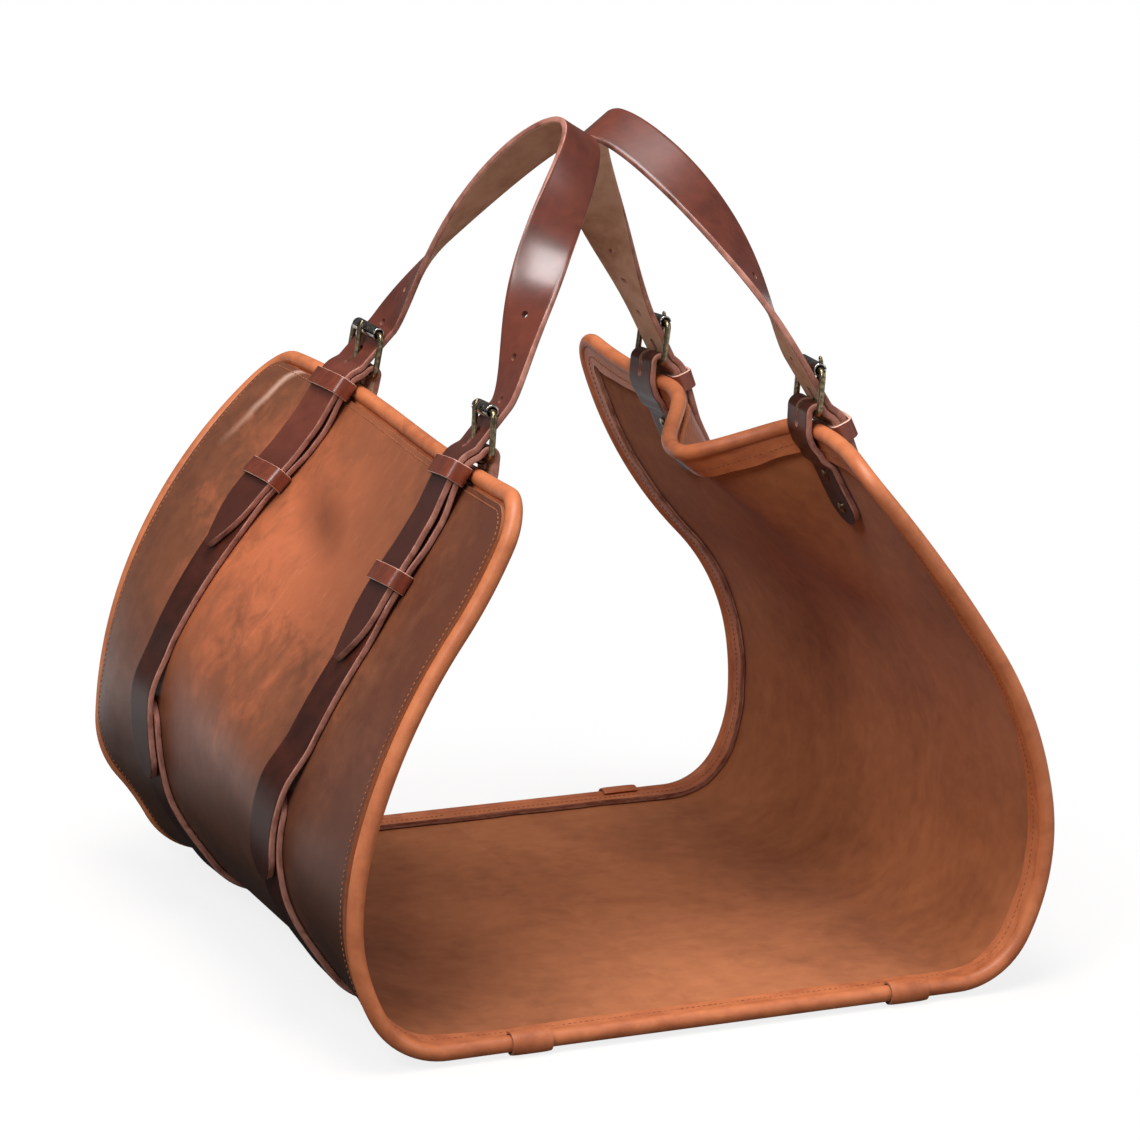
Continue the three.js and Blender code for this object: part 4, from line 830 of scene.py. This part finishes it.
def tarnished(name, dark, light, rough):
    """An old plated metal: dull where it has tarnished, brighter and smoother where it is rubbed."""
    material = bpy.data.materials.new(name)
    material.use_nodes = True
    tree = material.node_tree
    shader = tree.nodes["Principled BSDF"]
    place = wire(tree, "ShaderNodeTexCoord").outputs["Object"]
    tarnish = ranged(noise(place, 420.0, 5.0, 0.6), 0.38, 0.66)
    tree.links.new(blended(tarnish, linear(*dark), linear(*light)), shader.inputs["Base Color"])
    tree.links.new(ranged(tarnish, 0.0, 1.0, *rough), shader.inputs["Roughness"])
    pits = wire(tree, "ShaderNodeBump", Strength=1.0, Distance=0.00002, Height=noise(place, 900.0, 2.0))
    tree.links.new(pits.outputs[0], shader.inputs["Normal"])
    shader.inputs["Metallic"].default_value = 1.0
    return material


dark_metal = tarnished("dark_metal", (98, 86, 66), (166, 150, 120), (0.4, 0.26))
worn_steel = tarnished("worn_steel", (120, 116, 110), (214, 210, 204), (0.3, 0.16))

angle = (np.arange(28) + 0.5) * np.pi / 14
for side, panel in panels.items():
    for end, middle in strap_ends:
        for place, drop in rivet_drops.items():
            point, _, across, out = spot_frame(panel, panel[end]["total"] - drop, middle)
            near = unit(across - out * np.dot(across, out))
            ray = near * np.cos(angle)[:, None] + np.cross(out, near) * np.sin(angle)[:, None]
            rings = point + profile[:, None, :1] * ray + profile[:, None, 1:] * out
            rivet = swept(f"rivet_{place}_{side}_{end}_turned", rings, [dark_metal])
            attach(rivet, f"side_{side}")
            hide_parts(f"rivet_{place}_{side}_{end}")

# ---------------------------------------------------------------------------------------------
# The buckles. Four antique roller buckles: a heavy cast frame whose near bar sits in the side
# strap's loop, a roller with a seam that turns on its far bar, and a prong bent round the near bar.
# ---------------------------------------------------------------------------------------------
buckle_length, buckle_corner, buckle_play = 27.0, 4.0, 0.8
frame_wire, roller_radius = 1.8, 4.2
buckle_half = half_strap + buckle_play + wire_radius
lying_gap = strap_thickness + seat
roller_gap = loop_radius + lying_gap + half_stock + seat + roller_radius
frame_tilt = np.arcsin(roller_gap / buckle_length) - strap_lean
eye_radius = wire_radius + seat + eye_wire


def rounded_loop(half_width, low, high, corner, steps=9):
    """A rectangle with round corners as points and outward directions, right round."""
    points, rays = [], []
    for x, y, start in ((half_width - corner, low + corner, -90), (half_width - corner, high - corner, 0),
                        (corner - half_width, high - corner, 90), (corner - half_width, low + corner, 180)):
        angle = np.radians(start + np.linspace(0, 90, steps))
        ray = np.stack([np.cos(angle), np.sin(angle)], -1)
        points.append(np.array([x, y]) + corner * ray)
        rays.append(ray)
    return np.concatenate(points), np.concatenate(rays)


# Frame: a wire whose section is a soft square, |x|^3 + |y|^3 = r^3, carried round a loop.
frame_loop, frame_ray = rounded_loop(buckle_half, 0, buckle_length, buckle_corner)
angle = (np.arange(16) + 0.5) * np.pi / 8
soft = frame_wire / (np.abs(np.cos(angle)) ** 3 + np.abs(np.sin(angle)) ** 3) ** (1 / 3)
section = np.stack([soft * np.cos(angle), soft * np.sin(angle)], -1)
# Roller: a rolled tube with turned-in ends, a little open along its seam, as (radius, across).
reach, bore = buckle_half - buckle_corner - seat, wire_radius + 2 * seat
tube = np.array([[roller_radius, reach - 0.6], [roller_radius - 0.1, reach - 0.2],
                 [roller_radius - 0.45, reach], [bore + 0.4, reach], [bore, reach - 0.3]])
tube = np.concatenate([tube[::-1] * [1, -1], [[roller_radius, 0]], tube, [[bore, 0]]])
seam = np.radians(np.linspace(96, 444, 40))[:, None]
# Prong: an eye round the near bar, a shank, and a tip flattened over the roller, as (along, away).
tip = roller_radius + seat + eye_wire
angle = np.radians(np.linspace(-285, 0, 30))
shank = [[share * buckle_length, eye_radius + share * (tip - eye_radius)] for share in (0.3, 0.65, 1)]
hook = [[buckle_length + 3, tip - 0.4], [buckle_length + 5, tip - 1.0], [buckle_length + 5.8, tip - 1.35]]
prong_line = np.concatenate([np.stack([np.sin(angle), np.cos(angle)], -1) * eye_radius, shank, hook])
prong_way = unit(np.gradient(prong_line, axis=0))
prong_width = np.append(np.full(30, eye_wire), [1.9, 1.95, 2.0, 1.9, 1.5, 0.5])[:, None]
prong_thick = np.append(np.full(30, eye_wire), [1.8, 1.7, 1.5, 1.3, 1.0, 0.4])[:, None]
prong_angle = (np.arange(14) + 0.5) * np.pi / 7

for side, panel in panels.items():
    for end, _ in strap_ends:
        point, up, across, out = panel[end]["frame"]
        heel = point + bar[0] * out + bar_rise * up
        along = np.cos(frame_tilt) * up + np.sin(frame_tilt) * out
        away = np.cos(frame_tilt) * out - np.sin(frame_tilt) * up
        centre = heel + frame_loop[:, :1] * across + frame_loop[:, 1:] * along
        first = frame_ray[:, :1] * across + frame_ray[:, 1:] * along
        rings = centre[:, None] + first[:, None] * section[:, :1] + away * section[:, 1:]
        ring = swept(f"buckle_frame_{side}_{end}_cast", rings, [dark_metal], round_path=True)
        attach(ring, f"side_{side}")
        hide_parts(f"buckle_frame_{side}_{end}")
        ray = away * np.sin(seam) - along * np.cos(seam)
        rings = heel + buckle_length * along + ray[:, None] * tube[:, :1] + across * tube[:, 1:]
        roller = swept(f"buckle_roller_{side}_{end}_tube", rings, [worn_steel])
        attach(roller, f"roller_{side}_{end}")
        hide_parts(f"buckle_roller_{side}_{end}")
        centre = heel + prong_line[:, :1] * along + prong_line[:, 1:] * away
        second = prong_way[:, :1] * away - prong_way[:, 1:] * along
        rings = (centre[:, None] + across * (prong_width * np.cos(prong_angle))[..., None]
                 + second[:, None] * (prong_thick * np.sin(prong_angle))[..., None])
        prong = swept(f"buckle_prong_{side}_{end}_bent", rings, [dark_metal])
        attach(prong, f"prong_{side}_{end}")
        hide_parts(f"buckle_prong_{side}_{end}")

# ---------------------------------------------------------------------------------------------
# The handles. Two long bridle straps: each comes up from its tapered end on the outside of the
# panel, through its buckle and a half twist, over the opening, and down the same way.
# ---------------------------------------------------------------------------------------------
tip_drop, tip_taper, tip_blunt, tip_round, tip_lift = 135.0, 38.0, 4.0, 2.5, 1.5
tail_arch, arch_rise, arch_fall = 1.6, (8, 30), (46, 68)
split_rise, fold_gap = 43.0, 0.3
apex_height, apex_meet, apex_lean, apex_turn = 510.0, 13.5, np.radians(27), np.radians(26)
apex_reach, apex_droop = 42.0, 3.0
punch_radius, punch_spacing, punch_count, prong_slot = 2.4, 28.0, 4, 16.0
leg_steps = np.linspace(0, 1, 90)

# The tail on the panel, from its tip up: its drops, and its share of the strap's width.
drop = np.append(tip_drop - np.array([0, 0.4, 1.2, 2.5, 5, 9, 14, 20, 27]),
                 np.linspace(tip_drop - 34, 0, 34))
share = np.clip((tip_drop - drop) / tip_taper, 0, 1)
width = tip_blunt / strap_width + (1 - tip_blunt / strap_width) * np.sin(share * np.pi / 2)
width = width * np.sqrt(np.clip((tip_drop - drop) / tip_round, 0.02, 1))
tail_offset = lying_gap + tail_arch * ease(drop, *arch_rise) * (1 - ease(drop, *arch_fall))
tail_offset = tail_offset + (1 - share) * tip_lift
# Over the side strap's loop, and straight on behind the roller.
lean_up = np.array([-np.sin(strap_lean), np.cos(strap_lean)])
bend = outer_bend + np.stack([outer_way[:, 1], -outer_way[:, 0]], -1) * lying_gap
reach = (split_rise - bend[-1, 1]) / lean_up[1] + fold_gap / 2
straight = np.linspace(0, reach, 12)[1:, None] * lean_up + bend[-1]
rise_line = np.concatenate([bend, straight])
rise_way = np.concatenate([outer_way, np.broadcast_to(lean_up, straight.shape)])
# The prong crosses the strap this far above the end of its bend.
crossing = strap_lean + frame_tilt + np.arctan((roller_radius - wire_radius) / buckle_length)
prong_reach = (loop_radius + lying_gap) / np.tan(crossing) - eye_radius / np.sin(crossing)

for side, panel in panels.items():
    sign = panel["sign"]
    apex_off = half_strap * np.cos(apex_lean) + half_stock * np.sin(apex_lean) + seat / 2
    apex_side = sign * np.array([np.cos(apex_turn), np.sin(apex_turn), 0])
    apex_way = np.array([-np.sin(apex_turn), np.cos(apex_turn), 0])
    apex = np.array([apex_meet, 0, apex_height]) + apex_side * apex_off
    apex_half = -apex_side * np.cos(apex_lean) - [0, 0, np.sin(apex_lean)]
    parts, holes = [], []
    for (end, middle), to_front in zip(strap_ends, (-1, 1)):
        total = panel[end]["total"]
        point, up, across, out = panel[end]["frame"]
        offset = strap_offset(panel, middle, total - drop) + tail_offset
        tail, tail_half, _ = on_panel(panel, middle, total - drop, offset, width)
        above = point + rise_line[:, :1] * out + rise_line[:, 1:] * up
        above_way = rise_way[:, :1] * out + rise_way[:, 1:] * up
        above_half = np.broadcast_to(across * half_strap, above.shape)
        # The leg to the apex, turned a quarter about its own line on the way.
        start, leave = above[-1], above_way[-1]
        over = apex + to_front * apex_reach * apex_way - [0, 0, apex_droop]
        leg, _ = bezier(start, start + leave * panel["leg_reach"], over, apex, len(leg_steps))
        leg = leg + np.sin(leg_steps * np.pi)[:, None] ** 2 * panel["bow"][end]
        leg_way = unit(np.gradient(leg, axis=0))
        leg_way[0], leg_way[-1] = leave, -to_front * apex_way
        turn = ease(leg_steps, 0, panel["twist"][end])[:, None] * np.pi / 2
        leg_half = across * to_front * np.cos(turn) + apex_half * np.sin(turn)
        leg_half = unit(leg_half - leg_way * np.sum(leg_half * leg_way, 1)[:, None]) * half_strap
        centre = np.concatenate([tail, above, leg[1:]])
        half = np.concatenate([tail_half * to_front, above_half * to_front, leg_half[1:]])
        way = np.concatenate([unit(np.gradient(tail, axis=0)), above_way, leg_way[1:]])
        parts.append((centre, half, way))
        walked = walk(centre)
        for k in range(punch_count):
            place = walked[len(tail) + len(bend) - 1] + prong_reach + k * punch_spacing
            spot, half_here, way_here = (sampled(place, walked, rows) for rows in (centre, half, way))
            slot = prong_slot - 2 * punch_radius if k == 0 else 0.0
            through = unit(np.cross(half_here, way_here))
            holes.append((spot, through, unit(half_here), 12.0, punch_radius, slot))
    front, back = parts
    centre, half, way = (np.concatenate([a, b[-2::-1] * flip]) for a, b, flip in zip(front, back, (1, 1, -1)))
    rings = strap_rings(centre, half, -sign * unit(np.cross(half, way)))
    handle = swept(f"handle_strap_{side}", rings, [handle_grain, *strap_finishes[1:]], outline_sides)
    cut_away(handle, [punch(*hole) for hole in holes])
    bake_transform(handle)
    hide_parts(f"handle_{side}", f"handle_end_{side}_front", f"handle_end_{side}_back")

# ---------------------------------------------------------------------------------------------
# The keepers. Each side strap has two loops of lighter red-brown leather that hold the handle's
# end down; the upper one sits under the buckle and the lower one slides.
# ---------------------------------------------------------------------------------------------
keeper_corner, keeper_crown = 3.8, 1.2
slide_reach = 10.0
half_across = half_strap + keeper_slack + keeper_thickness / 2
off_strap = half_stock + keeper_slack + keeper_thickness / 2
keeper_outline, keeper_sides = strap_outline(keeper_width, keeper_thickness, 0.6)
keeper_grain = leather("keeper_grain", (114, 54, 38), (142, 70, 49), (84, 40, 29), broad=26.0,
                       rough=(0.22, 0.32), cells=1100, creases=0.25, bump=0.04, gloss=0.5, coat=0.15)
keeper_edge = leather("keeper_edge", (206, 158, 140), (232, 194, 178), (164, 112, 96), broad=60.0,
                      rough=(0.5, 0.7), bump=0.1)

for side, panel in panels.items():
    for end, middle in strap_ends:
        for place, drop in keeper_drops.items():
            spot = panel[end]["total"] - drop
            point, up, across, out = spot_frame(panel, spot, middle)
            body, under = f"side_{side}", side_offset
            if place == "lower":
                # It slides along the chord of the panel about it.
                body, under = f"keeper_{side}_{end}", keeper_offset
                ends = hide_frame(panel, spot + np.array([-slide_reach, slide_reach]), middle)[0]
                up, point = unit(ends[1] - ends[0]), ends.mean(0)
                out = unit(np.cross(across, up)) * panel["sign"]
            low_side, high_side = under - off_strap, under + lying_gap + off_strap
            loop, ray = rounded_loop(half_across, low_side, high_side, keeper_corner)
            loop, ray = np.append(loop, loop[:1], 0), np.append(ray, ray[:1], 0)
            walked = walk(loop)
            places = np.linspace(0, walked[-1], 97)[:-1]
            loop, ray = sampled(places, walked, loop), sampled(places, walked, ray)
            # The outer face is crowned, as a loop of damp-formed leather is.
            share = ease(loop[:, 1], low_side, high_side) * (1 - (loop[:, 0] / half_across) ** 2)
            loop[:, 1] += keeper_crown * share
            slope = 2 * keeper_crown * loop[:, 0] / half_across ** 2
            ray[:, 0] += slope * (ray[:, 1] > 0.5)
            ray = unit(ray)
            centre = point + loop[:, :1] * across + loop[:, 1:] * out
            first = ray[:, :1] * across + ray[:, 1:] * out
            rings = centre[:, None] + up * keeper_outline[:, :1] + first[:, None] * keeper_outline[:, 1:]
            keeper = swept(f"keeper_{place}_{side}_{end}_loop", rings,
                           [keeper_grain, bridle_flesh, keeper_edge], keeper_sides, round_path=True)
            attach(keeper, body)
            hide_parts(f"keeper_{place}_{side}_{end}")

# ---------------------------------------------------------------------------------------------
# The floor, the light and the camera. A pale floor and soft lamps, seen from the photograph's
# place, in front of the left panel and a little above.
# ---------------------------------------------------------------------------------------------
scene = bpy.context.scene
scene.view_settings.view_transform = "Standard"
floor = bpy.data.objects.new("floor", bpy.data.meshes.new("floor"))
floor.data.from_pydata([(-6, -6, 0), (6, -6, 0), (6, 6, 0), (-6, 6, 0)], [], [(0, 1, 2, 3)])
scene.collection.objects.link(floor)
pale = bpy.data.materials.new("pale_floor")
pale.use_nodes = True
tree = pale.node_tree
shader, output = tree.nodes["Principled BSDF"], tree.nodes["Material Output"]
shader.inputs["Roughness"].default_value = 0.9
rays = wire(tree, "ShaderNodeLightPath")
seen, mirrored = rays.outputs["Is Camera Ray"], rays.outputs["Is Glossy Ray"]
place = wire(tree, "ShaderNodeTexCoord").outputs["Object"]
away = wire(tree, "ShaderNodeVectorMath", {"operation": "LENGTH"}, i0=place).outputs[1]
plain = ranged(away, 0.34, 0.62)
# The camera sees a white floor that keeps its shadow near the carrier. Mirrored in the leather, the
# floor is dark round the carrier and pale farther off, and it throws little light back up.
strength = mathed("ADD", product(seen, ranged(plain, 0.0, 1.0, 1.12, 1.0)),
                  product(mirrored, ranged(away, 0.38, 0.8, 0.03, 0.8)))
glow = wire(tree, "ShaderNodeEmission", Color=(1, 1, 1, 1), Strength=strength)
share = mathed("MAXIMUM", product(seen, ranged(plain, 0.0, 1.0, 0.74, 1.0)), mirrored)
tree.links.new(blended(seen, (0.16, 0.15, 0.14, 1), (0.5, 0.48, 0.46, 1)), shader.inputs["Base Color"])
mixed = wire(tree, "ShaderNodeMixShader", i0=share, i1=shader.outputs[0], i2=glow.outputs[0])
tree.links.new(mixed.outputs[0], output.inputs[0])
floor.data.materials.append(pale)

# The world is white to the camera, and a dim grey to the leather, more so where it is mirrored.
world = bpy.data.worlds.new("studio")
scene.world = world
world.use_nodes = True
tree = world.node_tree
back = tree.nodes["Background"]
rays = wire(tree, "ShaderNodeLightPath")
seen = mathed("MAXIMUM", rays.outputs["Is Camera Ray"], rays.outputs["Is Transmission Ray"])
back.inputs[0].default_value = (1, 1, 1, 1)
soft = ranged(rays.outputs["Is Glossy Ray"], 0.0, 1.0, 0.38, 0.10)
tree.links.new(mathed("MAXIMUM", seen, soft), back.inputs[1])


def put_up(name, data, place, right, upward):
    """Adds a lamp or a camera at a place in metres. It looks against right x upward, with upward on top."""
    made = bpy.data.objects.new(name, data)
    axes = np.stack([right, upward, np.cross(right, upward)], -1)
    made.matrix_world = Matrix.LocRotScale(place, Matrix(axes.tolist()), None)
    scene.collection.objects.link(made)
    return made


# Square soft lamps: name, place in metres, the height over the middle that it faces, size and power.
for name, place, height, size, power in (
    ("key", (-1.5, -1.3, 1.9), 0.25, 0.9, 34),
    ("fill", (1.8, -1.6, 1.2), 0.25, 1.4, 14),
    ("top", (-0.25, -0.4, 2.3), 0.35, 1.1, 48),
):
    light = bpy.data.lights.new(name, "AREA")
    light.size, light.energy = size, power
    away = unit(np.array(place) - [0, 0, height])
    right = unit(np.cross([0, 0, 1], away))
    put_up(name, light, place, right, np.cross(away, right))

# The camera fitted to the photograph: the point it looks at and its distance from there are in
# millimetres, and its focal length is in pixels of a picture 1140 wide.
aim, distance, focal_pixels, picture_pixels = np.array([2.095, 0.0, 230.843]), 2671.62, 4249.27, 1140
turn, tilt, roll = np.radians([-22.137, 13.230, 0.172])
forward = np.array([-np.sin(turn) * np.cos(tilt), np.cos(turn) * np.cos(tilt), -np.sin(tilt)])
right = np.array([np.cos(turn), np.sin(turn), 0.0])
upward = np.cross(right, forward)
right, upward = right * np.cos(roll) + upward * np.sin(roll), upward * np.cos(roll) - right * np.sin(roll)
lens = bpy.data.cameras.new("camera")
lens.sensor_width, lens.lens = 36.0, 36.0 * focal_pixels / picture_pixels
lens.clip_start, lens.clip_end = 0.05, 50
scene.camera = put_up("camera", lens, in_frame(aim - forward * distance), right, upward)
